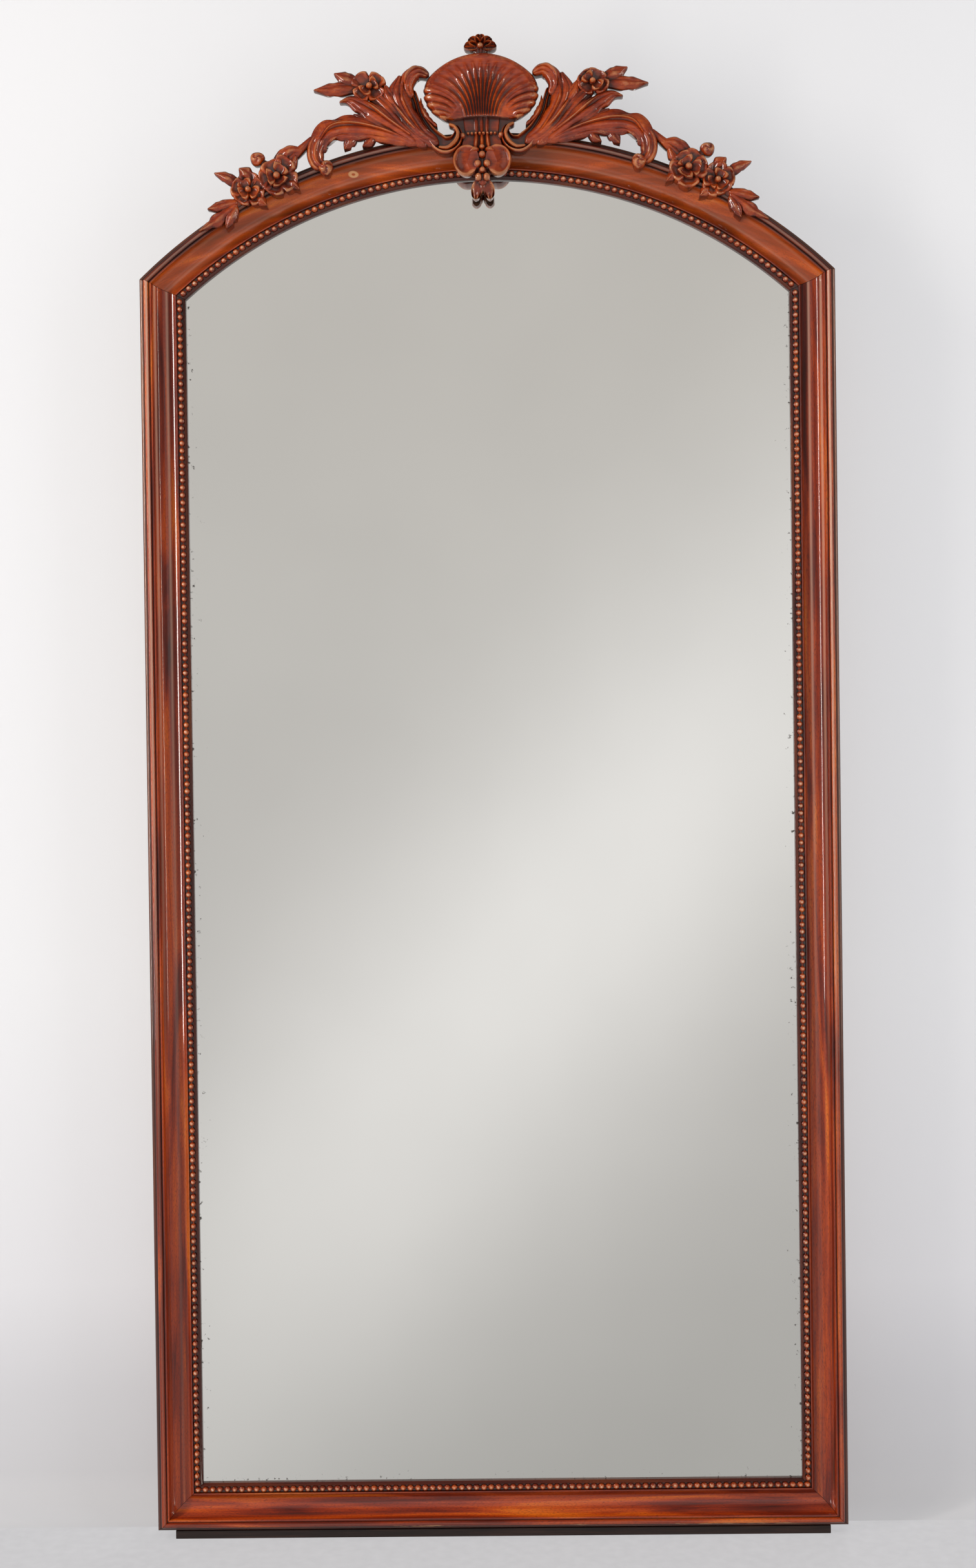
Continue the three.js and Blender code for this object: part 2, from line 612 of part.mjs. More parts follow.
/** Branch of the garland, low under its two flowers, with a bud, leaves and the spray at its end. */
const garland = (side, grow = 0) => unite([
  drawn(side, [[232, 26], [256, 16], [292, 4]], [4, 6, 6], [7, 9, LOW], grow),
  drawn(side, [[252, 14], [270, 19], [290, 14]], [5, 9, 5], [7, 9, LOW], grow),
  drawn(side, [[298, 8], [313, 27]], [5, 5], [LOW, 8], grow),
  bud(side, 313, 29, 10, 12, grow),
  drawn(side, [[286, -16], [279, -32]], [6, 3], [LOW, 6], grow),
  drawn(side, [[286, -4], [344, -6], [374, -12]], [8, 8, 7], [LOW, LOW, 8], grow),
  drawn(side, [[336, 2], [337, 18], [340, 27]], [6, 9, 4], [LOW, 9, 6], grow),
  drawn(side, [[350, 4], [361, 26], [371, 41]], [6, 8, 2.5], [LOW, 9, 5], grow),
  drawn(side, [[341, -14], [336, -24], [332, -33]], [6, 6, 2], [LOW, 9, 5], grow),
  drawn(side, [[366, -12], [388, -5], [405, 3]], [6, 8, 2.5], [8, 9, 5], grow),
  drawn(side, [[368, -13], [402, -17], [433, -15]], [6, 9, 2.5], [8, 9, 5], grow),
  drawn(side, [[370, -16], [387, -25], [399, -33]], [6, 8, 2.5], [8, 9, 5], grow)]);

/** The carved pieces in the order in which they are let into each other. */
function addCarving() {
  const seat = plate(frameOutline(-CLEARANCE), -1, CREST_SEAT);
  const sides = [[-1, 'left'], [1, 'right']];
  const mirrored = (name, build) => sides.map(([side, word]) =>
    [`${name}_${word}`, (grow) => build(side, grow)]);
  const pieces = [
    ['crest_finial', finial],
    ['crest_shell', shell],
    ['crest_pendant', pendant],
    ['crest_neck', neck],
    ...mirrored('crest_scroll', scroll),
    ...mirrored('crest_wing', wing),
    ...mirrored('crest_flower', (side, grow) => flower(side, 143, 71, 20, 5, 15, grow)),
    ...mirrored('crest_long_leaf', longLeaf),
    ...mirrored('garland', garland),
    ...mirrored('garland_flower_inner', (side, grow) => flower(side, 299, -5, 27, 6, 17, grow)),
    ...mirrored('garland_flower_outer', (side, grow) => flower(side, 344, -4, 24, 5, 16, grow)),
  ];
  let taken = null;
  for (const [name, build] of pieces) {
    let solid = build(0).subtract(seat);
    if (taken) solid = solid.subtract(taken);
    add(name, largestBody(solid.simplify(0.04)), CARVED_MAHOGANY);
    const cutter = build(CLEARANCE);
    taken = taken ? taken.add(cutter) : cutter;
  }
}

// ---------------------------------------------------------------- frame, glass and back

/** Vertical boards that close the back, cut from one arched outline. */
function boards() {
  const outline = plate(frameOutline(LEDGE_INSET + BOARD_JOINT), BOARD_BACK, BOARD_FRONT);
  const half = halfWidthAt(LEDGE_INSET);
  const pitch = (2 * half) / BOARD_COUNT;
  return Array.from({ length: BOARD_COUNT }, (_, i) => {
    const left = -half + i * pitch + BOARD_JOINT / 2;
    return outline.intersect(box(
      left, left + pitch - BOARD_JOINT, 0, ARCH_TOP_Z, BOARD_BACK - 1, BOARD_FRONT + 1));
  });
}

/** Screw places [x, z] at the foot and at the arch of each board. */
function boardScrewPlaces() {
  const inset = LEDGE_INSET + LEDGE_WIDTH / 2;
  const pitch = (2 * halfWidthAt(LEDGE_INSET)) / BOARD_COUNT;
  return Array.from({ length: BOARD_COUNT }, (_, i) => (i - (BOARD_COUNT - 1) / 2) * pitch)
    .flatMap((x) => {
      const shift = Math.abs(x) < 1 ? pitch / 6 : 0; // clear of the joint in the middle of the arch
      const top = onArc(inset, Math.asin((x + shift) / arcRadiusAt(inset)), 0);
      return [[x, footZ(inset)], [top.x, top.z]];
    });
}

/** Small wedge that is glued to the rabbet wall behind the glass, long axis along Z. */
function glassBlock() {
  const height = GLASS_BACK - LEDGE_DEPTH - CLEARANCE;
  const shape = new THREE.Shape([
    new THREE.Vector2(0, 0), new THREE.Vector2(BLOCK_WIDTH, 0),
    new THREE.Vector2(BLOCK_WIDTH, height * 0.4), new THREE.Vector2(BLOCK_WIDTH * 0.4, height),
    new THREE.Vector2(0, height)]);
  return new THREE.ExtrudeGeometry(shape, { depth: BLOCK_LENGTH, bevelEnabled: false })
    .translate(0, 0, -BLOCK_LENGTH / 2);
}

/** Blocks round the glass: name, middle point and the way their wall side faces. */
function addGlassBlocks() {
  const inset = REBATE_INSET + CLEARANCE;
  const low = lerp(footZ(0), shoulderZ(0), 0.25);
  const high = lerp(footZ(0), shoulderZ(0), 0.75);
  const archAngle = shoulderAngle(inset) / 2;
  const sagitta = BLOCK_LENGTH ** 2 / (8 * arcRadiusAt(inset));
  const places = [['glass_block_foot', 0, footZ(inset), Math.PI]];
  for (const [side, word] of [[-1, 'left'], [1, 'right']]) {
    places.push([`glass_block_${word}_low`, side * halfWidthAt(inset), low, (side * Math.PI) / 2]);
    places.push([`glass_block_${word}_high`, side * halfWidthAt(inset), high, (side * Math.PI) / 2]);
    const top = onArc(inset + sagitta, side * archAngle, 0);
    places.push([`glass_block_arch_${word}`, top.x, top.z, side * archAngle]);
  }
  for (const [name, x, z, facing] of places) {
    const geometry = glassBlock();
    const matrix = new THREE.Matrix4().makeBasis(
      new THREE.Vector3(-Math.sin(facing), 0, -Math.cos(facing)),
      new THREE.Vector3(0, -1, 0),
      new THREE.Vector3(-Math.cos(facing), 0, Math.sin(facing)));
    geometry.applyMatrix4(matrix);
    geometry.translate(x, atDepth(LEDGE_DEPTH), z);
    add(name, solidOf(geometry), PINE);
  }
}

function addFrame() {
  const boardScrews = boardScrewPlaces();
  const boardScrewLength = SCREW_LENGTH - 4;
  const holes = boardScrews.map(([x, z]) => screw(x, z, BOARD_BACK, boardScrewLength, CLEARANCE));
  const strap = strapScrewPlaces();
  const strapHoles = strap.map(([x, z]) =>
    screw(x, z, -STRAP_THICKNESS - CLEARANCE, SCREW_LENGTH, CLEARANCE));
  const hangerHoles = hangerScrewPlaces().map(([, x, z]) =>
    screw(x, z, -HANGER_THICKNESS - CLEARANCE, SCREW_LENGTH, CLEARANCE));
  const cutters = unite([...holes, ...strapHoles, ...hangerHoles]);

  add('stile_left', stile(-1).subtract(cutters), POLISHED_MAHOGANY);
  add('stile_right', stile(1).subtract(cutters), POLISHED_MAHOGANY);
  add('bottom_rail', bottomRail().subtract(cutters), POLISHED_MAHOGANY);
  add('arch_left', archHalf(-1).subtract(cutters), POLISHED_MAHOGANY);
  add('arch_right', archHalf(1).subtract(cutters), POLISHED_MAHOGANY);

  const footHalf = HALF_WIDTH - FOOT_INSET;
  add('foot_batten', box(-footHalf, footHalf, 0, FOOT_HEIGHT - CLEARANCE, 0, FOOT_DEPTH), DARK_OAK);
  add('mirror_plate', plate(frameOutline(REBATE_INSET + GLASS_EDGE_GAP), GLASS_BACK, GLASS_FRONT),
    SILVERED_GLASS);
  addGlassBlocks();

  boards().forEach((board, i) => add(`backboard_${i + 1}`, board.subtract(cutters), PINE));
  boardScrews.forEach(([x, z], i) =>
    add(`board_screw_${i + 1}`, screw(x, z, BOARD_BACK, boardScrewLength), STEEL));

  const block = crestBlock().subtract(cutters);
  add('crest_block', block, PINE);
  add('crest_strap', crestStrap().subtract(cutters), STEEL);
  strap.forEach(([x, z], i) =>
    add(`strap_screw_${i + 1}`, screw(x, z, -STRAP_THICKNESS - CLEARANCE, SCREW_LENGTH), STEEL));
}

// ---------------------------------------------------------------- what holds the crest

/** Upright block on the arch's edge, behind the shell. */
function crestBlock() {
  const half = CREST_BLOCK_WIDTH / 2;
  return box(CREST_OFFSET - half, CREST_OFFSET + half, ARCH_TOP_Z + CLEARANCE,
    ARCH_TOP_Z + CREST_RISE + SHELL_TOP - CREST_BLOCK_DROP, 0, CREST_BACK - CLEARANCE);
}

/** Steel strap on the back, across the joint of arch and block. */
function crestStrap() {
  const half = STRAP_WIDTH / 2;
  return box(CREST_OFFSET - half, CREST_OFFSET + half, ARCH_TOP_Z - STRAP_BELOW,
    ARCH_TOP_Z + STRAP_ABOVE, -STRAP_THICKNESS - CLEARANCE, -CLEARANCE);
}

/** One screw in the block, one in each half of the arch. */
function strapScrewPlaces() {
  const reach = STRAP_WIDTH / 3;
  return [
    [CREST_OFFSET, ARCH_TOP_Z + STRAP_ABOVE * 0.6],
    [CREST_OFFSET - reach, ARCH_TOP_Z - STRAP_BELOW * 0.55],
    [CREST_OFFSET + reach, ARCH_TOP_Z - STRAP_BELOW * 0.55]];
}

// ---------------------------------------------------------------- hangers

/** Strap on a stile's back, rolled at its lower end into the eye that holds the ring. */
function hangerPlate(side) {
  const centre = side * halfWidthAt(HANGER_INSET);
  const shape = new THREE.Shape();
  const face = EYE_RADIUS; // strap's front face, seen from the eye's centre
  const start = Math.acos((face - HANGER_THICKNESS) / EYE_RADIUS);
  shape.moveTo(face, 0);
  shape.lineTo(face, HANGER_LENGTH);
  shape.lineTo(face - HANGER_THICKNESS, HANGER_LENGTH);
  shape.lineTo(face - HANGER_THICKNESS, EYE_RADIUS * Math.sin(start));
  for (let i = 1; i < 8; i += 1) {
    const angle = lerp(start, 2 * Math.PI, i / 8);
    shape.lineTo(EYE_RADIUS * Math.cos(angle), EYE_RADIUS * Math.sin(angle));
  }
  const bore = new THREE.Path(circle(8).map((angle) =>
    new THREE.Vector2(EYE_BORE * Math.cos(angle), EYE_BORE * Math.sin(angle))));
  shape.holes.push(bore);
  const geometry = new THREE.ExtrudeGeometry(shape, { depth: HANGER_WIDTH, bevelEnabled: false });
  geometry.applyMatrix4(new THREE.Matrix4().makeBasis(
    new THREE.Vector3(0, -1, 0), new THREE.Vector3(0, 0, 1), new THREE.Vector3(-1, 0, 0)));
  geometry.translate(centre + HANGER_WIDTH / 2, atDepth(PIVOT_DEPTH), HANGER_Z);
  return solidOf(geometry);
}

/** Screw places [side, x, z] in the two straps. */
function hangerScrewPlaces() {
  return [-1, 1].flatMap((side) => [0.42, 0.8].map((share) =>
    [side, side * halfWidthAt(HANGER_INSET), HANGER_Z + HANGER_LENGTH * share]));
}

/** D-shaped wire ring: its straight bar lies in the eye, its round hangs below. */
function hangerRing(side) {
  const centre = new THREE.Vector3(
    side * halfWidthAt(HANGER_INSET), atDepth(PIVOT_DEPTH), HANGER_Z);
  const corner = Math.acos(RING_DROP / RING_RADIUS);
  const rounds = 13;
  const path = Array.from({ length: rounds + 1 }, (_, i) => {
    const angle = lerp(corner, 2 * Math.PI - corner, i / rounds);
    return new THREE.Vector2(RING_RADIUS * Math.sin(angle), RING_RADIUS * Math.cos(angle) - RING_DROP);
  });
  const sides = circle(8);
  const points = [];
  path.forEach((here, i) => {
    const before = path[(i + path.length - 1) % path.length];
    const after = path[(i + 1) % path.length];
    const inward = here.clone().sub(before).normalize();
    const outward = after.clone().sub(here).normalize();
    const tangent = inward.clone().add(outward).normalize();
    const normal = new THREE.Vector2(-tangent.y, tangent.x);
    const stretch = 1 / Math.max(0.5, tangent.dot(outward)); // mitre at the corners
    for (const angle of sides) {
      const out = WIRE_RADIUS * Math.cos(angle) * stretch;
      points.push(new THREE.Vector3(
        centre.x + here.x + normal.x * out,
        centre.y + WIRE_RADIUS * Math.sin(angle),
        centre.z + here.y + normal.y * out));
    }
  });
  const triangles = [];
  for (let i = 0; i < path.length; i += 1) {
    for (let k = 0; k < sides.length; k += 1) {
      const a = i * sides.length + k;
      const b = i * sides.length + ((k + 1) % sides.length);
      const step = (index) => (index + sides.length) % points.length;
      triangles.push([a, b, step(b)], [a, step(b), step(a)]);
    }
  }
  return solidFrom(points, triangles);
}

function addHangers() {
  for (const [side, word] of [[-1, 'left'], [1, 'right']]) {
    const places = hangerScrewPlaces().filter(([at]) => at === side);
    const holes = places.map(([, x, z]) =>
      screw(x, z, -HANGER_THICKNESS - CLEARANCE, SCREW_LENGTH, CLEARANCE));
    add(`hanger_plate_${word}`, hangerPlate(side).subtract(unite(holes)), BRASS);
    add(`hanger_ring_${word}`, hangerRing(side), BRASS);
    places.forEach(([, x, z], i) => add(`hanger_screw_${word}_${i + 1}`,
      screw(x, z, -HANGER_THICKNESS - CLEARANCE, SCREW_LENGTH), BRASS));
  }
}

addFrame();
addPearls();
addCarving();
addHangers();

export default mirror;
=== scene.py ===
# %% [markdown]
# # Pier mirror
#
# A tall arched looking-glass in a French-polished mahogany moulding, with a course of pearls round
# the glass and a carved crest: a fluted shell between C-scrolls and acanthus wings, and two garlands
# of flowers that lie on the arch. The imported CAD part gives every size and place. This lesson keeps
# those and gives the pieces their carved forms and their polish.

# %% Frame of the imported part
import math
import random

import bpy
import numpy as np
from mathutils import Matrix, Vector


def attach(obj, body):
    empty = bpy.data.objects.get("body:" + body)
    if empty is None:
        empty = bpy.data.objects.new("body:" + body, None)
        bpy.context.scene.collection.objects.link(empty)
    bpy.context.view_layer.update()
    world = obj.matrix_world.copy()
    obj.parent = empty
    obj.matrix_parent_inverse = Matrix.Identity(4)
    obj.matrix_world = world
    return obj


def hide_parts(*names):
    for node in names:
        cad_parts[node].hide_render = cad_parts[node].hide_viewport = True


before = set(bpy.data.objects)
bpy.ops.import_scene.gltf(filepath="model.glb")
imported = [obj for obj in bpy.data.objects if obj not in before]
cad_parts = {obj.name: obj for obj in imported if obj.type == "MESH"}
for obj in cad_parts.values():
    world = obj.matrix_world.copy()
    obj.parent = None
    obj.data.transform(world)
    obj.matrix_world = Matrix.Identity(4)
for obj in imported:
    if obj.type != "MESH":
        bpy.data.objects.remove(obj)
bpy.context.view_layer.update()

# %% [markdown]
# ## The frame's own measures
#
# Everything is laid out in millimetres and turned into metres at the end. Two measures run through
# the whole lesson: *inset* goes from the frame's outer edge towards the glass, and *depth* goes
# forward from the frame's flat back. The arch is one arc, so a half width and a rise give its radius.

# %% Measures of frame and arch
MM = 0.001
HALF_WIDTH = 495.0
SHOULDER_HEIGHT = 1792.0
ARCH_RISE = 200.5
MEMBER_WIDTH = 64.0
FRAME_DEPTH = 47.0
FOOT_HEIGHT = 12.0
BACK_Y = 18.0
JOINT_GAP = 0.3
ARCH_RADIUS = (HALF_WIDTH ** 2 + ARCH_RISE ** 2) / (2 * ARCH_RISE)
ARCH_CENTRE_Z = FOOT_HEIGHT + SHOULDER_HEIGHT + ARCH_RISE - ARCH_RADIUS
SIDES = ((-1, "left"), (1, "right"))


def shoulder_angle(inset):
    return np.arcsin((HALF_WIDTH - inset) / (ARCH_RADIUS - inset))


def shoulder_z(inset):
    return ARCH_CENTRE_Z + (ARCH_RADIUS - inset) * np.cos(shoulder_angle(inset))


def on_arc(inset, angle, depth):
    """Points of the arch, in metres, from inset, angle off the vertical and depth."""
    radius = ARCH_RADIUS - inset
    y = np.broadcast_to(BACK_Y - depth, np.shape(radius * np.sin(angle)))
    return np.stack([radius * np.sin(angle), y, ARCH_CENTRE_Z + radius * np.cos(angle)], -1) * MM


print("arch radius", round(ARCH_RADIUS, 1), "mm, centre at z", round(ARCH_CENTRE_Z, 1), "mm")

# %% [markdown]
# ## Camera
#
# The photograph was taken from about the height of the mirror's middle, nearly straight on, with the
# camera turned a little. A pinhole camera fitted to the frame's corners and edges gives its place:
# 2.78 m in front of the mirror, 1.11 m up, tipped down by 0.69 degrees and rolled by 0.75.

# %% Camera at the photograph's viewing angle
FOCAL_PIXELS = 3000
IMAGE_LONG_SIDE = 2429
SENSOR_LONG_SIDE = 36.0
CAMERA_PLACE = Vector((0.0232, -2.7799, 1.1116))
PITCH, YAW, ROLL = math.radians(-0.69), math.radians(0.633), math.radians(-0.748)

camera_data = bpy.data.cameras.new("camera")
camera_data.sensor_fit = "AUTO"
camera_data.sensor_width = SENSOR_LONG_SIDE
camera_data.lens = SENSOR_LONG_SIDE * FOCAL_PIXELS / IMAGE_LONG_SIDE
camera = bpy.data.objects.new("camera", camera_data)
bpy.context.scene.collection.objects.link(camera)
bpy.context.scene.camera = camera

ahead = Vector((-math.sin(YAW) * math.cos(PITCH), math.cos(YAW) * math.cos(PITCH), math.sin(PITCH)))
level_right = ahead.cross(Vector((0, 0, 1))).normalized()
level_up = level_right.cross(ahead)
right = math.cos(ROLL) * level_right + math.sin(ROLL) * level_up
up = -math.sin(ROLL) * level_right + math.cos(ROLL) * level_up
turn = camera.matrix_world.copy()
for row in range(3):
    turn[row][0], turn[row][1], turn[row][2] = right[row], up[row], -ahead[row]
    turn[row][3] = CAMERA_PLACE[row]
camera.matrix_world = turn
print("lens", round(camera_data.lens, 2), "mm")

# %% [markdown]
# ## Helpers for meshes
#
# Every piece below is a grid of points in code, bent into its real form. One helper turns points and
# faces into an object that rides on its CAD body and stands for its CAD node. The wood's grain needs
# to know where it runs, so each point also carries its place along and across the grain.

# %% Mesh helpers
def build(name, points, faces, materials, grain=None, face_material=None, sharp=35):
    """Mesh object from points in metres, with smooth shading up to a sharp edge's angle."""
    mesh = bpy.data.meshes.new(name)
    mesh.from_pydata(np.asarray(points, float).tolist(), [], [list(map(int, f)) for f in faces])
    for material in materials:
        mesh.materials.append(material)
    if face_material is not None:
        mesh.polygons.foreach_set("material_index", np.asarray(face_material, np.int32))
    if grain is not None:
        layer = mesh.attributes.new("grain", "FLOAT_VECTOR", "POINT")
        layer.data.foreach_set("vector", np.asarray(grain, np.float32).ravel())
    mesh.validate()
    mesh.shade_smooth()
    mesh.set_sharp_from_angle(angle=math.radians(sharp))
    piece = bpy.data.objects.new(name, mesh)
    bpy.context.scene.collection.objects.link(piece)
    return piece


def stand_in(piece, slot, *nodes, body="frame"):
    """The piece rides on its body and stands for its CAD nodes. The slot is not used."""
    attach(piece, body)
    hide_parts(*nodes)
    return piece


def mark(piece, **layers):
    """Gives every point of the piece one value in each named layer, for its material to read."""
    for layer_name, values in layers.items():
        layer = piece.data.attributes.new(layer_name, "FLOAT", "POINT")
        layer.data.foreach_set("value", values.astype(np.float32))


def tube_faces(rings, count):
    """Quads between rings of count points each."""
    faces = []
    for i in range(rings - 1):
        for k in range(count):
            a, b = i * count + k, i * count + (k + 1) % count
            faces.append((a, b, b + count, a + count))
    return faces


def turned_out(points, faces):
    """The faces, reversed where the closed body they make is inside out."""
    points = np.asarray(points, float)
    volume = 0.0
    for f in faces:
        for j in range(1, len(f) - 1):
            volume += np.dot(points[f[0]], np.cross(points[f[j]], points[f[j + 1]]))
    return [f[::-1] for f in faces] if volume < 0 else faces


print("mesh helpers ready")

# %% [markdown]
# ## Helpers for materials
#
# Colours are written as the hex values that one reads off a picture; Blender works with linear light,
# so one function turns them over. One more function adds a node with its settings and links, and all
# materials are made with it.

# %% Node and colour helpers
def linear(hex_colour):
    """sRGB hex colour as linear red, green, blue and alpha."""
    parts = [int(hex_colour[i:i + 2], 16) / 255 for i in (1, 3, 5)]
    return tuple(c / 12.92 if c <= 0.04045 else ((c + 0.055) / 1.055) ** 2.4 for c in parts) + (1.0,)


def put(tree, kind, inputs=(), stops=(), **settings):
    """Adds a node. Inputs, by name or in order, are values, outputs or nodes; stops make a ramp."""
    made = tree.nodes.new("ShaderNode" + kind)
    for key, value in settings.items():
        setattr(made, key, value)
    for key, value in (inputs if isinstance(inputs, dict) else dict(enumerate(inputs))).items():
        if isinstance(value, bpy.types.Node):
            value = next(output for output in value.outputs if output.enabled)
        if isinstance(value, bpy.types.NodeSocket):
            tree.links.new(value, made.inputs[key])
        else:
            made.inputs[key].default_value = value
    if stops:
        ramp = made.color_ramp
        while len(ramp.elements) < len(stops):
            ramp.elements.new(0.5)
        for element, (place, colour) in zip(ramp.elements, stops):
            element.position = place
            element.color = linear(colour)
    return made


def new_material(name):
    """Empty node material, its tree and the object's own coordinates in it."""
    material = bpy.data.materials.new(name)
    material.use_nodes = True
    tree = material.node_tree
    tree.nodes.clear()
    return material, tree, put(tree, "TexCoord").outputs["Object"]


def finish_material(tree, inputs):
    """The shader with its inputs, joined to the material's output."""
    put(tree, "OutputMaterial", (put(tree, "BsdfPrincipled", inputs),))


def per_size(*sizes_mm):
    """Scale that gives a noise of scale 1 these sizes in millimetres."""
    return tuple(1000 / size for size in sizes_mm)


print("a mid brown as linear light:", [round(v, 3) for v in linear("#963C1E")[:3]])

# %% [markdown]
# ## French-polished mahogany veneer
#
# The moulding is faced with figured mahogany veneer. Shellac polish lies on it as a thin clear coat,
# so the wood has two glosses: its own soft one and the sharp one of the polish. The wood itself shows
# two scales: a flame figure a few centimetres wide that runs from orange to deep red-brown, and fine
# pores that are short dark streaks along the grain. Real pores are 0.2 mm wide; they are drawn at
# about 0.7 mm so that they show. Light and shade are painted on top: painted shade at the outer edge
# and in the hollows of the moulding, the arch's cove painted lighter, as where light falls on it, and
# thin painted highlights along the ridges.

# %% Polished mahogany
FIGURE_SIZE = (300.0, 24.0, 24.0)  # mm along the grain, across it and into the wood
STREAK_SIZE = (240.0, 6.5, 6.5)
PORE_SCALE = 3.0
PORE_SIZE = (14.0, 0.7 * PORE_SCALE, 0.7 * PORE_SCALE)
CHIP_PLACE = (-0.188, 0.0, 1.950)  # an old ring-shaped knock in the cove of the arch
CHIP_SHAPE = (1.0, 0.0, 1.7)

mahogany_polished, tree, place = new_material("mahogany veneer, French polished")
grain = put(tree, "Attribute", attribute_name="grain").outputs["Vector"]
along = put(tree, "Mapping", {"Vector": grain, "Scale": per_size(*FIGURE_SIZE)})
figure = put(tree, "TexNoise", {
    "Vector": along, "Scale": 1.0, "Detail": 4.0, "Roughness": 0.55, "Distortion": 0.8})
along = put(tree, "Mapping", {"Vector": grain, "Scale": per_size(*STREAK_SIZE)})
streak = put(tree, "TexNoise", {
    "Vector": along, "Scale": 1.0, "Detail": 3.0, "Roughness": 0.6, "Distortion": 0.4})
streak = put(tree, "Math", (streak, 0.30), operation="MULTIPLY")
tone = put(tree, "Math", (figure, streak), operation="ADD")
colour = put(tree, "ValToRGB", (tone,), (
    (0.42, "#400D04"), (0.53, "#6C1B06"), (0.63, "#932D06"), (0.73, "#B84508"), (0.86, "#DC6D14")))
along = put(tree, "Mapping", {"Vector": grain, "Scale": per_size(*PORE_SIZE)})
pore = put(tree, "TexNoise", {"Vector": along, "Scale": PORE_SCALE, "Detail": 2.0})
in_pore = put(tree, "MapRange", (pore, 0.36, 0.46, 0.55, 0.0))
pale, shade, thin, rub = (put(tree, "Attribute", attribute_name=name).outputs["Fac"]
                          for name in ("pale", "shade", "thin", "rub"))
rub_noise = put(tree, "TexNoise", {"Vector": place, "Scale": 42.0, "Detail": 5.0})
rubbed = put(tree, "Math", (rub_noise, rub), operation="MULTIPLY")
rubbed = put(tree, "MapRange", (rubbed, 0.47, 0.60, 0.0, 0.85))
from_chip = put(tree, "Mapping", {"Vector": place, "Location": tuple(-v for v in CHIP_PLACE)})
from_chip = put(tree, "VectorMath", (from_chip, CHIP_SHAPE), operation="MULTIPLY")
from_chip = put(tree, "VectorMath", (from_chip,), operation="LENGTH")
centimetres = put(tree, "Math", (from_chip, 100.0), operation="MULTIPLY")
chip_ring = put(tree, "ValToRGB", (centimetres,), (
    (0.18, "#000000"), (0.34, "#FFFFFF"), (0.62, "#FFFFFF"), (0.80, "#000000")))
# Over the wood's own pores: the arch's cove painted lighter, as where light falls on it, painted shade at
# the edges and in the channels, and painted highlights along the ridges; then real wear on the rail and an
# old knock.
for share, cover in ((in_pore, "#3A140A"), (pale, "#D2660F"), (shade, "#280B07"), (thin, "#E8B59A"),
                     (rubbed, "#C08A5C"), (chip_ring, "#DDA06A")):
    colour = put(tree, "Mix", {0: share, 6: colour, 7: linear(cover)}, data_type="RGBA")
wave = put(tree, "TexNoise", {"Vector": place, "Scale": 38.0, "Detail": 2.0})
polish = put(tree, "Bump", {"Strength": 0.12, "Distance": 0.0006, "Height": wave})
wood = put(tree, "Bump", {"Strength": 0.10, "Distance": 0.0002, "Height": pore, "Normal": polish})
finish_material(tree, {
    "Base Color": colour, "Roughness": put(tree, "MapRange", {0: wave, 3: 0.30, 4: 0.48}),
    "IOR": 1.5, "Specular IOR Level": 0.2, "Coat Weight": 1.0, "Coat Roughness": 0.06,
    "Coat IOR": 1.55, "Normal": wood, "Coat Normal": polish})
print(mahogany_polished.name, "has", len(tree.nodes), "nodes")

# %% [markdown]
# ## Carved mahogany
#
# The crest, the garlands and the pearls are solid mahogany, carved with gouges, stained a deeper
# red-brown and polished by rubbing. Light and shade are painted into the colour: the ridges are pale
# pinkish brown, partly worn polish and partly painted highlight, the pearls' tops carry a painted
# glint, and painted shade darkens the grooves and the ground. All of it follows the form, so each
# point of a carving carries how far it stands out from its neighbours (edge) and from the ground
# (high), and the material reads those instead of guessing.

# %% Carved mahogany
FIBRE_SIZE = (30.0, 2.2, 2.2)
carved_mahogany, tree, place = new_material("mahogany, carved, stained and waxed")
edge, high = (put(tree, "Attribute", attribute_name=name).outputs["Fac"] for name in ("edge", "high"))
blotch = put(tree, "TexNoise", {
    "Vector": place, "Scale": 1000 / 34.0, "Detail": 4.0, "Roughness": 0.55})
blotch = put(tree, "Math", (blotch, 0.75), operation="MULTIPLY")
along = put(tree, "Mapping", {"Vector": place, "Scale": per_size(*FIBRE_SIZE)})
fibre = put(tree, "TexNoise", {"Vector": along, "Scale": 1.0, "Detail": 3.0})
fibre = put(tree, "Math", (fibre, 0.30), operation="MULTIPLY")
tone = put(tree, "Math", (blotch, fibre), operation="ADD")
colour = put(tree, "ValToRGB", (tone,), (
    (0.36, "#621804"), (0.50, "#922E06"), (0.62, "#B24408"), (0.74, "#D06010")))
uneven = put(tree, "TexNoise", {
    "Vector": place, "Scale": 1000 / 11.0, "Detail": 4.0, "Roughness": 0.6})
uneven = put(tree, "MapRange", (uneven, 0.3, 0.7, -0.16, 0.08))
wear_and_sheen = put(tree, "Math", (edge, uneven), operation="ADD")
# Painted shade in hollows, where the carving sits below its surroundings.
hollow = put(tree, "MapRange", (edge, 0.44, 0.06, 0.0, 0.80))
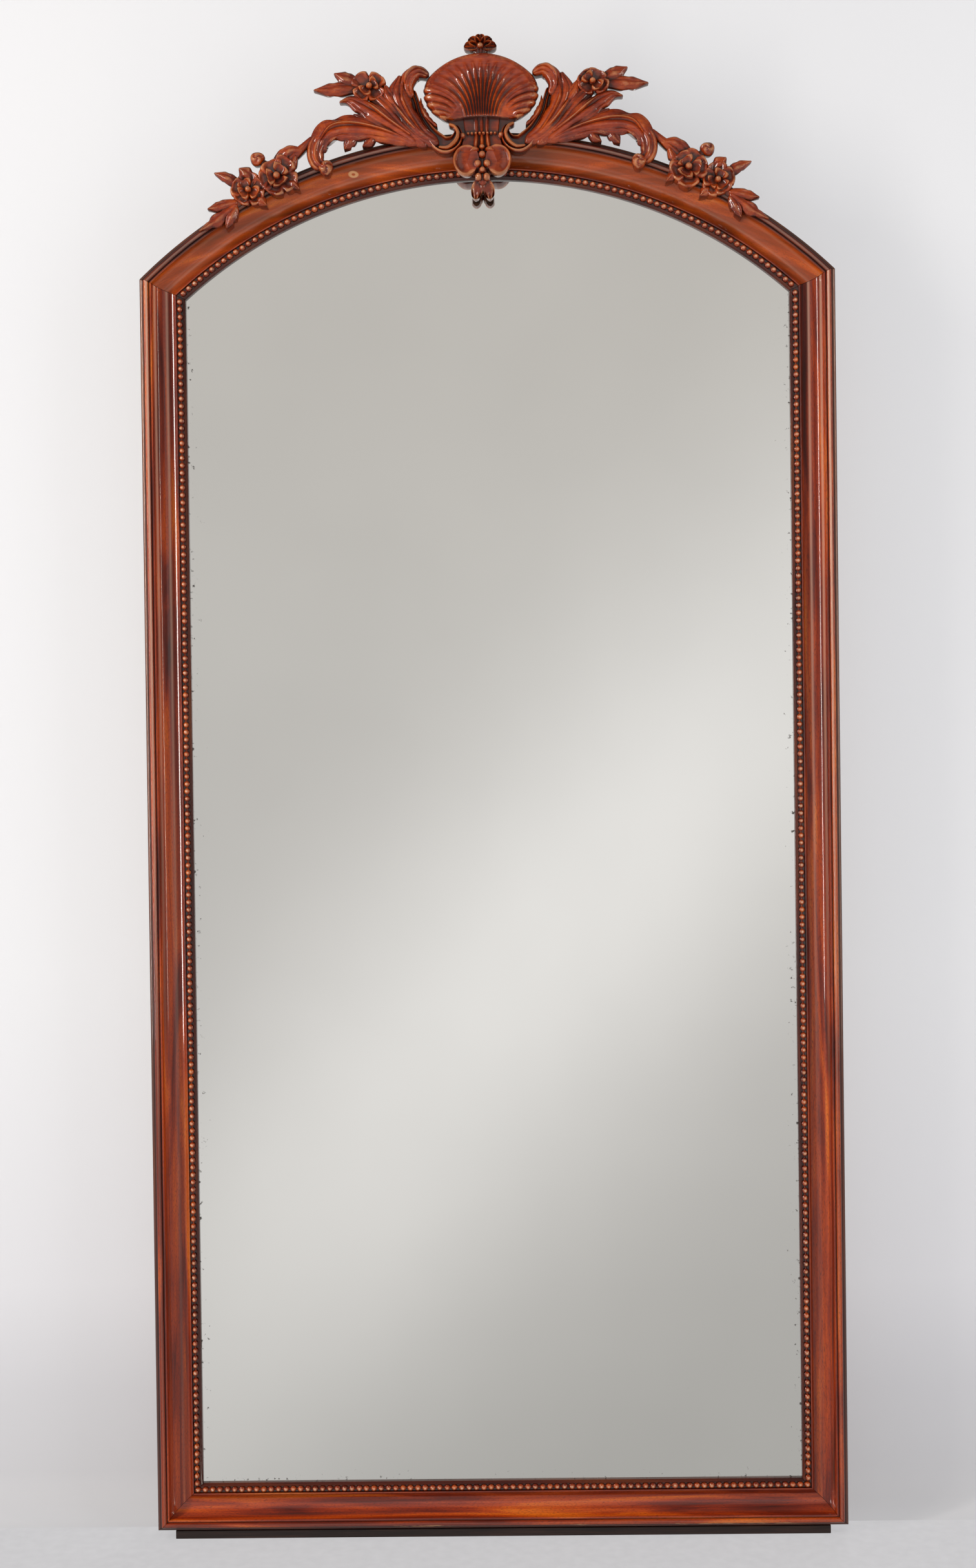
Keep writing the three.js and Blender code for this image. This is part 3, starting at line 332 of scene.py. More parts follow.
# Painted shade near the ground and in hollows, pale ridges that are partly worn polish and partly painted
# highlight, and a painted glint on the pearls' tops.
for share, cover in ((put(tree, "MapRange", (high, 0.05, 0.9, 0.5, 0.0)), "#3B140E"),
                     (hollow, "#260C07"),
                     (put(tree, "MapRange", (wear_and_sheen, 0.62, 0.96, 0.0, 0.58)), "#D4905E"),
                     (put(tree, "MapRange", (wear_and_sheen, 1.05, 1.35, 0.0, 0.75)), "#E9C9B4")):
    colour = put(tree, "Mix", {0: share, 6: colour, 7: linear(cover)}, data_type="RGBA")
tool_marks = put(tree, "TexNoise", {"Vector": place, "Scale": 1000 / 5.0, "Detail": 2.0})
finish_material(tree, {
    "Base Color": colour, "Roughness": put(tree, "MapRange", {0: hollow, 3: 0.30, 4: 0.60}),
    "IOR": 1.5, "Specular IOR Level": 0.3, "Coat Weight": 1.0, "Coat Roughness": 0.08,
    "Coat IOR": 1.55,
    "Normal": put(tree, "Bump", {"Strength": 0.22, "Distance": 0.0005, "Height": tool_marks})})
print(carved_mahogany.name, "has", len(tree.nodes), "nodes")

# %% [markdown]
# ## Plain woods of the back
#
# A cabinetmaker saves the good wood for the front. The backs of the members are sawn mahogany left
# unpolished, the back boards are planed pine gone tan with age, and the batten under the foot is dark
# stained oak. All three are one recipe with other colours: stretched noise for the growth rings, fine
# fibres, and saw marks across the grain on the rough pieces. Each board has a tone of its own.

# %% Sawn and planed woods
RING_STRETCH, FIBRE_STRETCH, FIBRE_MM = 18, 30, 1.6


def plain_wood(name, stops, ring_mm, long_axis, roughness, saw_mm=0.0):
    """Unpolished wood whose grain runs along one axis of the object."""
    material, tree, place = new_material(name)
    layers = []
    for size, stretch, looks in (
            (ring_mm, RING_STRETCH, {"Detail": 5.0, "Roughness": 0.6, "Distortion": 0.8}),
            (FIBRE_MM, FIBRE_STRETCH, {"Detail": 2.0})):
        sizes = [size * (stretch if axis == long_axis else 1) for axis in range(3)]
        along = put(tree, "Mapping", {"Vector": place, "Scale": per_size(*sizes)})
        layers.append(put(tree, "TexNoise", {"Vector": along, "Scale": 1.0, **looks}))
    height = layers[1]
    layers.append(put(tree, "TexNoise", {"Vector": place, "Scale": 4.0, "Detail": 3.0}))
    own = put(tree, "ObjectInfo").outputs["Random"]
    total = put(tree, "MapRange", {0: own, 3: -0.10, 4: 0.10})
    for layer in reversed(layers):
        total = put(tree, "Math", (layer, total), operation="ADD")
    tone = put(tree, "Math", (total, 3.0), operation="DIVIDE")
    if saw_mm:
        saw = put(tree, "TexWave", {
            "Vector": place, "Scale": 1000 / saw_mm / 20, "Distortion": 3.0, "Detail": 1.0},
            bands_direction="XYZ"[long_axis])
        height = put(tree, "Math", (height, saw.outputs["Fac"]), operation="ADD")
    finish_material(tree, {
        "Base Color": put(tree, "ValToRGB", (tone,), stops), "Roughness": roughness, "IOR": 1.5,
        "Normal": put(tree, "Bump", {"Strength": 0.35, "Distance": 0.0004, "Height": height})})
    return material


sawn_upright, sawn_level = (plain_wood(f"mahogany, sawn, grain {word}", (
    (0.36, "#3B2014"), (0.5, "#5E3822"), (0.64, "#7B4E31")), 9.0, long_axis, 0.75, saw_mm=3.0)
    for word, long_axis in (("upright", 2), ("level", 0)))
planed_pine = plain_wood("pine, planed, aged", (
    (0.34, "#7C5530"), (0.48, "#A67B4B"), (0.6, "#B98F5E"), (0.68, "#C9A274")), 14.0, 2, 0.7)
stained_oak = plain_wood("oak, planed, stained dark", (
    (0.36, "#140B09"), (0.5, "#241512"), (0.64, "#3A241D")), 7.0, 0, 0.5)
print("plain woods ready")

# %% [markdown]
# ## Silvered glass
#
# Old mirror glass is silvered on its back: the eye sees a grey-green reflection, a little darker than
# new glass. Damp has crept in at the edge, where the silver has gone dark in small star-shaped spots,
# and a few flecks have fallen off. Silver is a metal, so its colour is the colour of what it mirrors.

# %% Silvered glass
FOX_MM = 7.0
GLASS_HALF, GLASS_FOOT, FOX_REACH = 0.431, 0.076, 0.028
silvered_glass, tree, place = new_material("silvered glass, old")
axes = put(tree, "SeparateXYZ", (place,)).outputs
sideways = put(tree, "Math", (axes["X"],), operation="ABSOLUTE")
side_far = put(tree, "Math", (GLASS_HALF, sideways), operation="SUBTRACT")
foot_far = put(tree, "Math", (axes["Z"], GLASS_FOOT), operation="SUBTRACT")
near_edge = put(tree, "Math", (side_far, foot_far), operation="MINIMUM")
near_edge = put(tree, "MapRange", (near_edge, 0.0, FOX_REACH, 1.0, 0.0))
near_edge = put(tree, "Math", (near_edge, 0.16), operation="MULTIPLY")
fox = put(tree, "TexNoise", {
    "Vector": place, "Scale": 1000 / FOX_MM, "Detail": 5.0, "Roughness": 0.65})
fox = put(tree, "Math", (fox, near_edge), operation="ADD")
fox = put(tree, "MapRange", (fox, 0.755, 0.81, 0.0, 0.8))
haze = put(tree, "TexNoise", {"Vector": place, "Scale": 2.4, "Detail": 3.0})
tone = put(tree, "ValToRGB", (haze,), ((0.35, "#EBEAE8"), (0.65, "#F0EFED")))
silver = put(tree, "Mix", {0: fox, 6: tone, 7: linear("#3B332A")}, data_type="RGBA")
ripple = put(tree, "TexNoise", {"Vector": place, "Scale": 5.0, "Detail": 1.0})
finish_material(tree, {
    "Base Color": silver, "Metallic": 1.0,
    "Roughness": put(tree, "MapRange", {0: fox, 3: 0.03, 4: 0.6}),
    "Normal": put(tree, "Bump", {"Strength": 0.05, "Distance": 0.0006, "Height": ripple})})
print(silvered_glass.name, "has", len(tree.nodes), "nodes")

# %% [markdown]
# ## Steel and brass
#
# The screws and the strap are mild steel, the hangers are pressed brass. Both have gone dull: steel
# with brown rust spots, brass with a brown film that is thin where it is handled.

# %% Dull metals
def dull_metal(name, stops, spot_mm, smoothest, roughest):
    """Metal whose colour and gloss follow one blotchy noise."""
    material, tree, place = new_material(name)
    blotch = put(tree, "TexNoise", {
        "Vector": place, "Scale": 1000 / spot_mm, "Detail": 5.0, "Roughness": 0.65})
    finish_material(tree, {
        "Base Color": put(tree, "ValToRGB", (blotch,), stops), "Metallic": 1.0,
        "Roughness": put(tree, "MapRange", (blotch, 0.3, 0.7, roughest, smoothest)),
        "Normal": put(tree, "Bump", {"Strength": 0.1, "Distance": 0.00005, "Height": blotch})})
    return material


mild_steel = dull_metal("steel, rolled, tarnished", (
    (0.36, "#4A3226"), (0.46, "#5F5852"), (0.6, "#787470"), (0.72, "#8C8984")), 9.0, 0.46, 0.6)
pressed_brass = dull_metal("brass, pressed, tarnished", (
    (0.34, "#5A4322"), (0.5, "#94713A"), (0.68, "#C09A52")), 8.0, 0.24, 0.5)
print("metals ready")

# %% [markdown]
# ## Section of the moulding
#
# From the outer edge: a quarter round, a step, a torus, a quirk, a fillet, the wide cove, a small
# fillet, the channel that holds the pearls, and the lip that holds the glass. The joiner's planes
# leave crisp edges, and a century of dusting rounds them a little, so every corner is softened by half
# a millimetre. That small round is what catches the thin bright lines along the frame.

# %% Moulding section
OVOLO_WIDTH, OVOLO_FOOT, OVOLO_TOP = 5.0, 33.0, 38.0
STEP_DEPTH, TORUS_INSET, TORUS_DEPTH, TORUS_RADIUS = 38.5, 10.5, 43.3, 3.7
QUIRK_INSET, QUIRK_DEPTH = 15.5, 42.0
FILLET_END, FILLET_DEPTH = 18.0, 44.0
COVE_HANDLES = ((18.0, 43.5), (20.0, 26.0), (35.955, 21.5), (49.5, 30.0))
INNER_FILLET_END, INNER_FILLET_DEPTH = 51.5, 31.0
CHANNEL_END, CHANNEL_DEPTH = 60.5, 26.0
LIP_DEPTH, SIGHT_DEPTH, REBATE_DEPTH = 28.5, 24.0, 20.0
REBATE_INSET, LEDGE_INSET, LEDGE_DEPTH = 54.0, 40.0, 8.0
EDGE_ROUND = 0.55
STRAIGHT_COSINE = -0.86  # corners flatter than this stay as they are


def arc_points(centre, radii, start, stop, steps):
    angles = np.radians(np.linspace(start, stop, steps))
    return [(centre[0] + radii[0] * math.cos(a), centre[1] + radii[1] * math.sin(a)) for a in angles]


def bezier(handles, steps):
    t = np.linspace(0, 1, steps)[:, None]
    a, b, c, d = (np.array(h) for h in handles)
    curve = a * (1 - t) ** 3 + 3 * b * t * (1 - t) ** 2 + 3 * c * t ** 2 * (1 - t) + d * t ** 3
    return [tuple(p) for p in curve]


face_line = [(0.0, OVOLO_FOOT)]
face_line += arc_points((OVOLO_WIDTH, OVOLO_FOOT), (OVOLO_WIDTH, OVOLO_TOP - OVOLO_FOOT), 170, 90, 8)
face_line += [(OVOLO_WIDTH, STEP_DEPTH), (TORUS_INSET - TORUS_RADIUS, STEP_DEPTH)]
face_line += arc_points((TORUS_INSET, TORUS_DEPTH), (TORUS_RADIUS, TORUS_RADIUS), 180, 0, 15)
face_line += [(TORUS_INSET + TORUS_RADIUS, QUIRK_DEPTH), (QUIRK_INSET, QUIRK_DEPTH)]
face_line += [(QUIRK_INSET, FILLET_DEPTH), (FILLET_END, FILLET_DEPTH)]
face_line += bezier(COVE_HANDLES, 25)
face_line += [(COVE_HANDLES[-1][0], INNER_FILLET_DEPTH), (INNER_FILLET_END, INNER_FILLET_DEPTH)]
face_line += [(INNER_FILLET_END, CHANNEL_DEPTH), (CHANNEL_END, CHANNEL_DEPTH)]
face_line += [(CHANNEL_END, LIP_DEPTH), (MEMBER_WIDTH, SIGHT_DEPTH), (MEMBER_WIDTH, REBATE_DEPTH)]


def softened(points, radius, steps=3):
    """The line with each sharp corner turned into a small round."""
    out = [points[0]]
    for before, here, after in zip(points, points[1:], points[2:]):
        before, here, after = (np.array(p, float) for p in (before, here, after))
        to_back, to_front = before - here, after - here
        long_back, long_front = np.linalg.norm(to_back), np.linalg.norm(to_front)
        cosine = np.dot(to_back, to_front) / (long_back * long_front)
        if cosine < STRAIGHT_COSINE:
            out.append(tuple(here))
            continue
        start = here + to_back / long_back * min(radius, long_back * 0.45)
        stop = here + to_front / long_front * min(radius, long_front * 0.45)
        for t in np.linspace(0, 1, steps + 1):
            out.append(tuple(start * (1 - t) ** 2 + 2 * here * t * (1 - t) + stop * t ** 2))
    return out + [points[-1]]


face_line = softened([p for i, p in enumerate(face_line) if i == 0 or p != face_line[i - 1]],
                     EDGE_ROUND)
back_line = [(REBATE_INSET, REBATE_DEPTH), (REBATE_INSET, LEDGE_DEPTH), (LEDGE_INSET, LEDGE_DEPTH),
             (LEDGE_INSET, 0.0), (0.0, 0.0)]
section = np.array(face_line + back_line)
girth = np.concatenate([[0], np.cumsum(np.linalg.norm(np.diff(section, axis=0), axis=1))])
print(len(section), "points round the section, girth", round(girth[len(face_line) - 1], 1), "mm")

# %% [markdown]
# The same line also says how high the moulding's face stands at any inset. The carving is scribed to
# it further down, so this is kept as a small lookup, with the pearls' tops in place of their channel.

# %% Height of the moulding under the carving
CREST_BACK = 38.0
PROBE_STEP, PROBE_REACH = 0.25, 0.9
PEARLS_FROM, PEARL_TOPS = 50.5, 32.6
OVER_GLASS = 30.5
face_array = np.array(face_line)
order = np.argsort(face_array[:, 0], kind="stable")
probe = np.arange(0, MEMBER_WIDTH, PROBE_STEP)
face_height = np.array([face_array[np.abs(face_array[:, 0] - p) < PROBE_REACH, 1].max(initial=0)
                        for p in probe])
gaps = face_height == 0
face_height[gaps] = np.interp(probe[gaps], face_array[order, 0], face_array[order, 1])
face_height[probe > PEARLS_FROM] = PEARL_TOPS


def seat_depth(inset):
    """Depth at which the carving's underside rests, at an inset of the arch."""
    height = np.interp(inset, probe, face_height) + JOINT_GAP
    return np.where(inset < 0, CREST_BACK, np.where(inset > MEMBER_WIDTH, OVER_GLASS, height))


print("face height at insets 5, 10.5, 33:", [round(float(seat_depth(np.array(v))), 1)
                                            for v in (5.0, 10.5, 33.0)])

# %% [markdown]
# ## Stiles, bottom rail and arch
#
# Each member is the section swept along its line and mitred where two meet. A sweep in code keeps the
# points in step with the grain, so the figure runs along the stiles and the rail. On the arch the
# veneer's figure slants, and its cove is painted lighter, as where light falls on it. Painted shade
# darkens the outer edge, most of all on the arch, and the pearls' channel. Thin painted highlights run
# along the ridges, brightest high on the stiles, and shoes and brooms have rubbed the polish off the
# bottom rail's lower edge.

# %% Swept members
GRAIN_START = {"stile_left": 0.0, "stile_right": 3.1, "bottom_rail": 6.3, "arch_left": 9.7,
               "arch_right": 12.9}
ARCH_SLANT, ARCH_SQUEEZE = 0.22, 0.9
# Painted shade by inset: the outer edge, the pearls' channel, the quirk, the lip and the cove's foot.
SHADE_BANDS = ((0.85, -1, 5.5, 3.0), (0.60, 51.6, 60.2, 0.5), (0.45, 14.3, 15.4, 0.4),
               (0.82, 60.6, 65, 0.8), (0.35, 45.0, 49.6, 5.0))  # strength, from, to and softness
# Painted highlights by inset: thin lines along the ridges of the moulding.
PAINTED_HIGHLIGHT_BANDS = ((0.30, 2.0, 3.4, 1.0), (0.78, 10.8, 12.4, 1.0), (0.55, 20.4, 21.6, 1.0),
               (0.62, 36.4, 38.0, 1.4))
RUBBED_SPOTS = ((-0.16, -0.06), (0.10, 0.14), (0.24, 0.33), (0.35, 0.44))  # metres along the rail
DARKEST_SHADE = 0.92
# Painted highlights grow brighter from this height up the stiles, and never fall below the least share.
HIGHLIGHT_FROM_Z, HIGHLIGHT_LEAST = 0.45, 0.12


def band(value, low, high, soft):
    """1 between low and high, 0 outside, with soft edges."""
    rise = np.clip((value - low + soft) / soft, 0, 1)
    return rise * np.clip((high - value + soft) / soft, 0, 1)


def bands(value, rows):
    return sum(strength * band(value, *row) for strength, *row in rows)


def member(name, stations, place_at, along_at, back_material, rubbed=False):
    """Sweeps the section: place_at(share, inset, depth) is a point, along_at its way along."""
    inset, depth = section[:, 0], section[:, 1]
    count, shown = len(section), len(face_line)
    arched, upright = name.startswith("arch"), name.startswith("stile")
    shares = np.linspace(0, 1, stations)
    points = np.concatenate([place_at(share, inset, depth) for share in shares])
    along = np.concatenate([along_at(share, inset) for share in shares])
    grain = np.stack([along * MM + GRAIN_START[name], np.tile(girth, stations) * MM,
                      np.full(len(points), GRAIN_START[name])], -1)
    if arched:
        grain[:, 1] += ARCH_SLANT * along * MM
        grain[:, 0] += ARCH_SQUEEZE * along * MM
    faces = tube_faces(stations, count)
    kinds = [0 if (i % count) < shown - 1 else 1 for i in range(len(faces))] + [1, 1]
    faces += [tuple(range(count))[::-1], tuple(range(len(points) - count, len(points)))]
    piece = build(name.replace("_", "-"), points, turned_out(points, faces),
                  [mahogany_polished, back_material], grain, kinds)
    # Painted shade, darkest on the arch's outer edge; the arch's cove painted lighter, as where light
    # falls on it; thin painted highlights along the ridges, brighter higher up and faint off the stiles.
    shade = bands(inset, SHADE_BANDS) + (0.62 if arched else 0.12) * band(inset, 5.5, 17.0, 2.0)
    pale = (0.28 if arched else 0.0) * band(inset, 20, 44, 6.0)
    rub = np.zeros(len(points))
    if rubbed:
        spots = sum(band(points[:, 0], start, stop, 0.02) for start, stop in RUBBED_SPOTS)
        rub = np.clip(spots, 0, 1) * np.tile(band(inset, 4.0, 9.0, 1.5), stations)
    height = np.clip(points[:, 2] - HIGHLIGHT_FROM_Z, HIGHLIGHT_LEAST, 1.0)
    thin = np.tile(bands(inset, PAINTED_HIGHLIGHT_BANDS), stations) * height * (1.0 if upright else 0.25)
    mark(piece, shade=np.tile(np.clip(shade, 0, DARKEST_SHADE), stations), rub=rub,
         pale=np.tile(pale, stations), thin=thin)
    return stand_in(piece, "polished_mahogany", name)


def straight(points):
    return np.stack(points, -1) * MM


def stile_along(share, inset):
    return share * (shoulder_z(inset) - FOOT_HEIGHT - inset)


def arch_along(share, inset):
    return (1 - share) * shoulder_angle(inset) * (ARCH_RADIUS - inset)


for side, word in SIDES:
    def stile_point(share, inset, depth):
        z = (FOOT_HEIGHT + inset + JOINT_GAP) * (1 - share) + (shoulder_z(inset) - JOINT_GAP) * share
        return straight([side * (HALF_WIDTH - inset), BACK_Y - depth, z])

    def arch_point(share, inset, depth):
        start = shoulder_angle(inset) - JOINT_GAP / (ARCH_RADIUS - inset)
        stop = JOINT_GAP / 2 / (ARCH_RADIUS - inset)
        return on_arc(inset, side * (start * (1 - share) + stop * share), depth)

    member(f"stile_{word}", 41, stile_point, stile_along, sawn_upright)
    member(f"arch_{word}", 90, arch_point, arch_along, sawn_level)

member("bottom_rail", 61, lambda share, inset, depth: straight([
    (2 * share - 1) * (HALF_WIDTH - inset - JOINT_GAP), BACK_Y - depth, FOOT_HEIGHT + inset]),
    lambda share, inset: share * 2 * (HALF_WIDTH - inset), sawn_level, rubbed=True)
print("members swept:", sorted(GRAIN_START))

# %% [markdown]
# ## Pearls
#
# The pearls were carved as one strip and let into their channel: domes 8 mm across, 10.6 mm apart,
# joined by a low string. Each is a squashed ball with its own slight turn and size, because a hand made
# them, and one on the rail has lost its crown. Their tops carry a painted highlight, and the string
# between them painted shade.

# %% Courses of pearls
PEARL_PITCH = 10.6
PEARL_INSET = 56.0
PEARL_BASE = CHANNEL_DEPTH + JOINT_GAP
PEARL_DOME = (4.35, 4.0, 3.9)  # half length, half width and height of the dome
NECK_HEIGHT = 1.6
CHIPPED_PEARL_X, CHIPPED_HEIGHT = 243.0, 2.6
CORNER_GAP = 4.3
STRING = np.array([(-1.3, 0.0), (-1.1, 1.5), (0.0, 2.2), (1.1, 1.5), (1.3, 0.0)])


def dome(rings=7, sides=14, past_equator=1.12):
    """Unit dome on a short neck, as points (along, across, height) and its faces."""
    points = [(0.0, 0.0, 1.0)]
    for ring in range(1, rings + 1):
        lift = math.cos(math.pi / 2 * past_equator * ring / rings)
        wide = math.sin(math.pi / 2 * past_equator * ring / rings)
        for k in range(sides):
            angle = 2 * math.pi * k / sides
            points.append((wide * math.cos(angle), wide * math.sin(angle), lift))
    faces = [(0, 1 + k, 1 + (k + 1) % sides) for k in range(sides)]
    for ring in range(rings - 1):
        a = 1 + ring * sides
        for k in range(sides):
            n = (k + 1) % sides
            faces.append((a + k, a + sides + k, a + sides + n, a + n))
    last = 1 + (rings - 1) * sides
    faces.append(tuple(last + k for k in reversed(range(sides))))
    return np.array(points), faces


dome_points, dome_faces = dome()
dice = random.Random(7)


def pearls(name, length, place_at):
    """A course of pearls: place_at(way, out, depth) takes arrays in millimetres."""
    count = round(length / PEARL_PITCH)
    points, faces, edge = [], [], []
    for i in range(count):
        centre = (i + 0.5) * length / count
        size = 1 + dice.uniform(-0.05, 0.04)
        local = dome_points * [half * size for half in PEARL_DOME]
        way = centre + local[:, 0] + dice.uniform(-0.25, 0.25)
        out = local[:, 1] + dice.uniform(-0.2, 0.2)
        depth = PEARL_BASE + np.maximum(local[:, 2] + NECK_HEIGHT, 0.0)
        if name == "pearls_bottom" and abs(centre - length / 2 - CHIPPED_PEARL_X) < PEARL_PITCH / 2:
            depth = np.minimum(depth, PEARL_BASE + CHIPPED_HEIGHT + 0.25 * local[:, 0])
        points.append(place_at(way, out, depth))
        # Painted highlight on each pearl's top, and painted shade round its foot.
        edge.append(0.44 + 0.90 * np.clip(dome_points[:, 2], 0, 1) ** 5)
        faces += [tuple(i * len(dome_points) + v for v in f) for f in dome_faces]
    start, rings, sides = count * len(dome_points), max(2, count), len(STRING)
    for way in np.linspace(0.5, length - 0.5, rings):
        points.append(place_at(np.full(sides, way), STRING[:, 0], PEARL_BASE + STRING[:, 1]))
        # The string between the pearls is painted in shade.
        edge.append(np.full(sides, 0.30))
    ends = [tuple(reversed(range(sides))), tuple(range((rings - 1) * sides, rings * sides))]
    faces += [tuple(start + v for v in f) for f in tube_faces(rings, sides) + ends]
    piece = build(name.replace("_", "-"), np.concatenate(points), faces, [carved_mahogany])
    mark(piece, edge=np.concatenate(edge), high=np.concatenate(edge))
    stand_in(piece, "pearl_mahogany", name)
    return count


low = FOOT_HEIGHT + PEARL_INSET + CORNER_GAP
high = shoulder_z(PEARL_INSET) - CORNER_GAP / 2
wide = HALF_WIDTH - PEARL_INSET + 4
radius = ARCH_RADIUS - PEARL_INSET
start = float(shoulder_angle(PEARL_INSET)) - CORNER_GAP / 2 / radius
stop = JOINT_GAP / 2 / radius
made = pearls("pearls_bottom", 2 * wide, lambda way, out, depth: straight([
    way - wide, BACK_Y - depth, FOOT_HEIGHT + PEARL_INSET - out]))
for side, word in SIDES:
    made += pearls(f"pearls_{word}", high - low, lambda way, out, depth: straight([
        side * (HALF_WIDTH - PEARL_INSET + out), BACK_Y - depth, low + way]))
    made += pearls(f"pearls_arch_{word}", (start - stop) * radius, lambda way, out, depth: on_arc(
        PEARL_INSET - out, side * (start - way / radius), depth))
print(made, "pearls")

# %% [markdown]
# ## How the carving is made
#
# A carver saws the crest out of one board, so its back is flat, and then sinks leaves, scrolls and
# petals into its face. Here each form is a grid of points in the crest's own measures: *s* along the
# arch, *u* up from its edge, and depth. Bending that grid onto the arch at the end keeps each leaf
# true. The underside of every form is scribed to the moulding below it, so nothing hangs in the air.

# %% From the crest's measures to the frame
CREST_OFFSET = -4.0
CREST_RISE = 6.0
CREST_SEAT = FRAME_DEPTH + JOINT_GAP


def crest_place(points):
    """Points (s, u, depth) in millimetres, bent onto the arch, in metres."""
    points = np.asarray(points, float)
    angle = (points[:, 0] + CREST_OFFSET) / ARCH_RADIUS
    return on_arc(-(points[:, 1] + CREST_RISE), angle, points[:, 2])


def underside(s, u):
    """Depth of the ground under the carving, which depends on u alone."""
    return seat_depth(-(np.asarray(u, float) + CREST_RISE))


def smooth_line(knots, count):
    """Evenly spaced points on a Catmull-Rom line through the knots, and its length."""
    knots = np.asarray(knots, float)
    padded = np.vstack([2 * knots[:1] - knots[1:2], knots, 2 * knots[-1:] - knots[-2:-1]])
    t = np.linspace(0, 1, 24, endpoint=False)[:, None]
    pieces = []
    for i in range(len(knots) - 1):
        a, b, c, d = padded[i:i + 4]
        pieces.append(0.5 * (2 * b + (c - a) * t + (2 * a - 5 * b + 4 * c - d) * t ** 2
                             + (3 * b - a - 3 * c + d) * t ** 3))
    dense = np.vstack(pieces + [knots[-1:]])
    way = np.concatenate([[0], np.cumsum(np.linalg.norm(np.diff(dense, axis=0), axis=1))])
    even = np.linspace(0, way[-1], count)
    line = np.stack([np.interp(even, way, dense[:, k]) for k in range(knots.shape[1])], -1)
    return line, way[-1]


def smooth_values(values, shares):
    """A list of evenly spaced values, read smoothly at shares from 0 to 1."""
    places = np.linspace(0, 1, len(values))
    fine = np.interp(np.linspace(0, 1, 121), places, values)
    kernel = np.hanning(19) / np.hanning(19).sum()
    eased = np.convolve(np.pad(fine, 9, mode="edge"), kernel, mode="valid")
    return np.interp(shares, np.linspace(0, 1, 121), eased)


print("crest's middle at the arch's edge:", crest_place([(0, -6, 47.3)]).round(4).tolist())

# %% [markdown]
# ## A carved leaf
#
# An acanthus leaf is a spine with lobes on both sides. Between two lobes the gouge cuts an eye, and
# from each eye a pipe runs back to the spine. Thin veins follow the leaf's length. The leaf's height
# falls from its ribs to a crisp edge that stands clear of the ground, which gives the dark line round
# each leaf. One function lays all that over a grid along the spine.

# %% Leaf on a spine
GRID_STEP = 1.5
EDGE_SHARE = 0.46  # height of a leaf's edge, as a share of its ribs'
UNDERCUT = 0.80
LEAST_THICKNESS = 0.5


def closed_grid(top, rows, columns, ground):
    """Closed body: a grid of top points and a smaller one that is scribed to the ground below.

    The smaller grid undercuts the edge, as a carver does, so that the side stays in the dark.
    """
    ground[:, 2] = np.minimum(underside(top[:, 0], top[:, 1]), top[:, 2] - LEAST_THICKNESS)
    size = rows * columns
    faces = [(a, a + 1, a + columns + 1, a + columns) for i in range(rows - 1)
             for a in range(i * columns, i * columns + columns - 1)]
    faces += [tuple(v + size for v in reversed(f)) for f in faces]
    rim = list(range(columns)) + [i * columns + columns - 1 for i in range(1, rows)]
    rim += [(rows - 1) * columns + k for k in range(columns - 2, -1, -1)]
    rim += [i * columns for i in range(rows - 2, 0, -1)]
    for a, b in zip(rim, rim[1:] + rim[:1]):
        faces.append((b, a, a + size, b + size))
    return np.vstack([top, ground]), faces


def leaf(spine, widths, heights, lobes=0, veins=3, sweep=0.5, relief=None, round_ends=True):
    """Grid of a leaf from its spine, half widths and heights; relief may reshape its section."""
    rough_length = smooth_line(spine, 30)[1]
    rows = max(10, int(rough_length / GRID_STEP))
    line, length = smooth_line(spine, rows)
    share = np.linspace(0, 1, rows)
    half = smooth_values(widths, share)
    height = smooth_values(heights, share)
    ends = np.ones(rows)
    if round_ends:
        for far, reach in ((share * length, widths[0]), ((1 - share) * length, widths[-1])):
            near = np.clip(far / min(max(reach * 0.9, 1.5), length * 0.3), 0, 1)
            ends = np.minimum(ends, np.sqrt(np.clip(1 - (1 - near) ** 2, 0.02, 1)))
    columns = 2 * max(4, int(max(widths) / GRID_STEP)) + 1
    v = np.linspace(-1, 1, columns)[None, :]
    t = share[:, None]
    way = np.gradient(line, axis=0)
    way /= np.linalg.norm(way, axis=1)[:, None]
    across = np.stack([-way[:, 1], way[:, 0]], -1)
    notch = np.zeros_like(t * v)
    if lobes:
        notch = np.abs(np.cos(math.pi * lobes * t)) ** 7 * np.ones_like(v)
        notch *= np.clip(t * lobes * 1.4, 0, 1) * np.clip((1 - t) * lobes * 1.4, 0, 1)
    reach = half[:, None] * ends[:, None] * v * (1 - 0.20 * notch * np.abs(v))
    push = sweep * half[:, None] * ends[:, None] * np.abs(v) ** 1.6

    def grid(tuck):
        return [line[:, k:k + 1] + across[:, k:k + 1] * reach * tuck + way[:, k:k + 1] * push * tuck
                for k in (0, 1)]

    if relief is not None:
        form = relief(t, v)
    else:
        form = EDGE_SHARE + (1 - EDGE_SHARE) * (1 - np.abs(v) ** 2.4) ** 0.8
        form = form - 0.07 * notch * np.abs(v) ** 2
        reed = np.abs(np.cos(math.pi * (veins * v + 0.35 * t))) ** 0.75
        form = form + 0.20 * (reed - 0.7) * (1 - np.abs(v) ** 5) * np.clip(4 * t, 0.2, 1)
    depth = CREST_SEAT + height[:, None] * form * (0.45 + 0.55 * ends[:, None])
    top = np.stack(grid(1) + [depth], -1).reshape(-1, 3)
    ground = np.stack(grid(UNDERCUT * (1 - 0.4 * notch)) + [0 * depth], -1).reshape(-1, 3)
    return closed_grid(top, rows, columns, ground)


def mirrored(form, side):
    """The form as it is for side 1, or turned over the crest's middle for side -1."""
    points, faces = form
    if side > 0:
        return points, faces
    return points * (-1, 1, 1), [tuple(reversed(f)) for f in faces]


print("a leaf's grid has a point every", GRID_STEP, "mm")

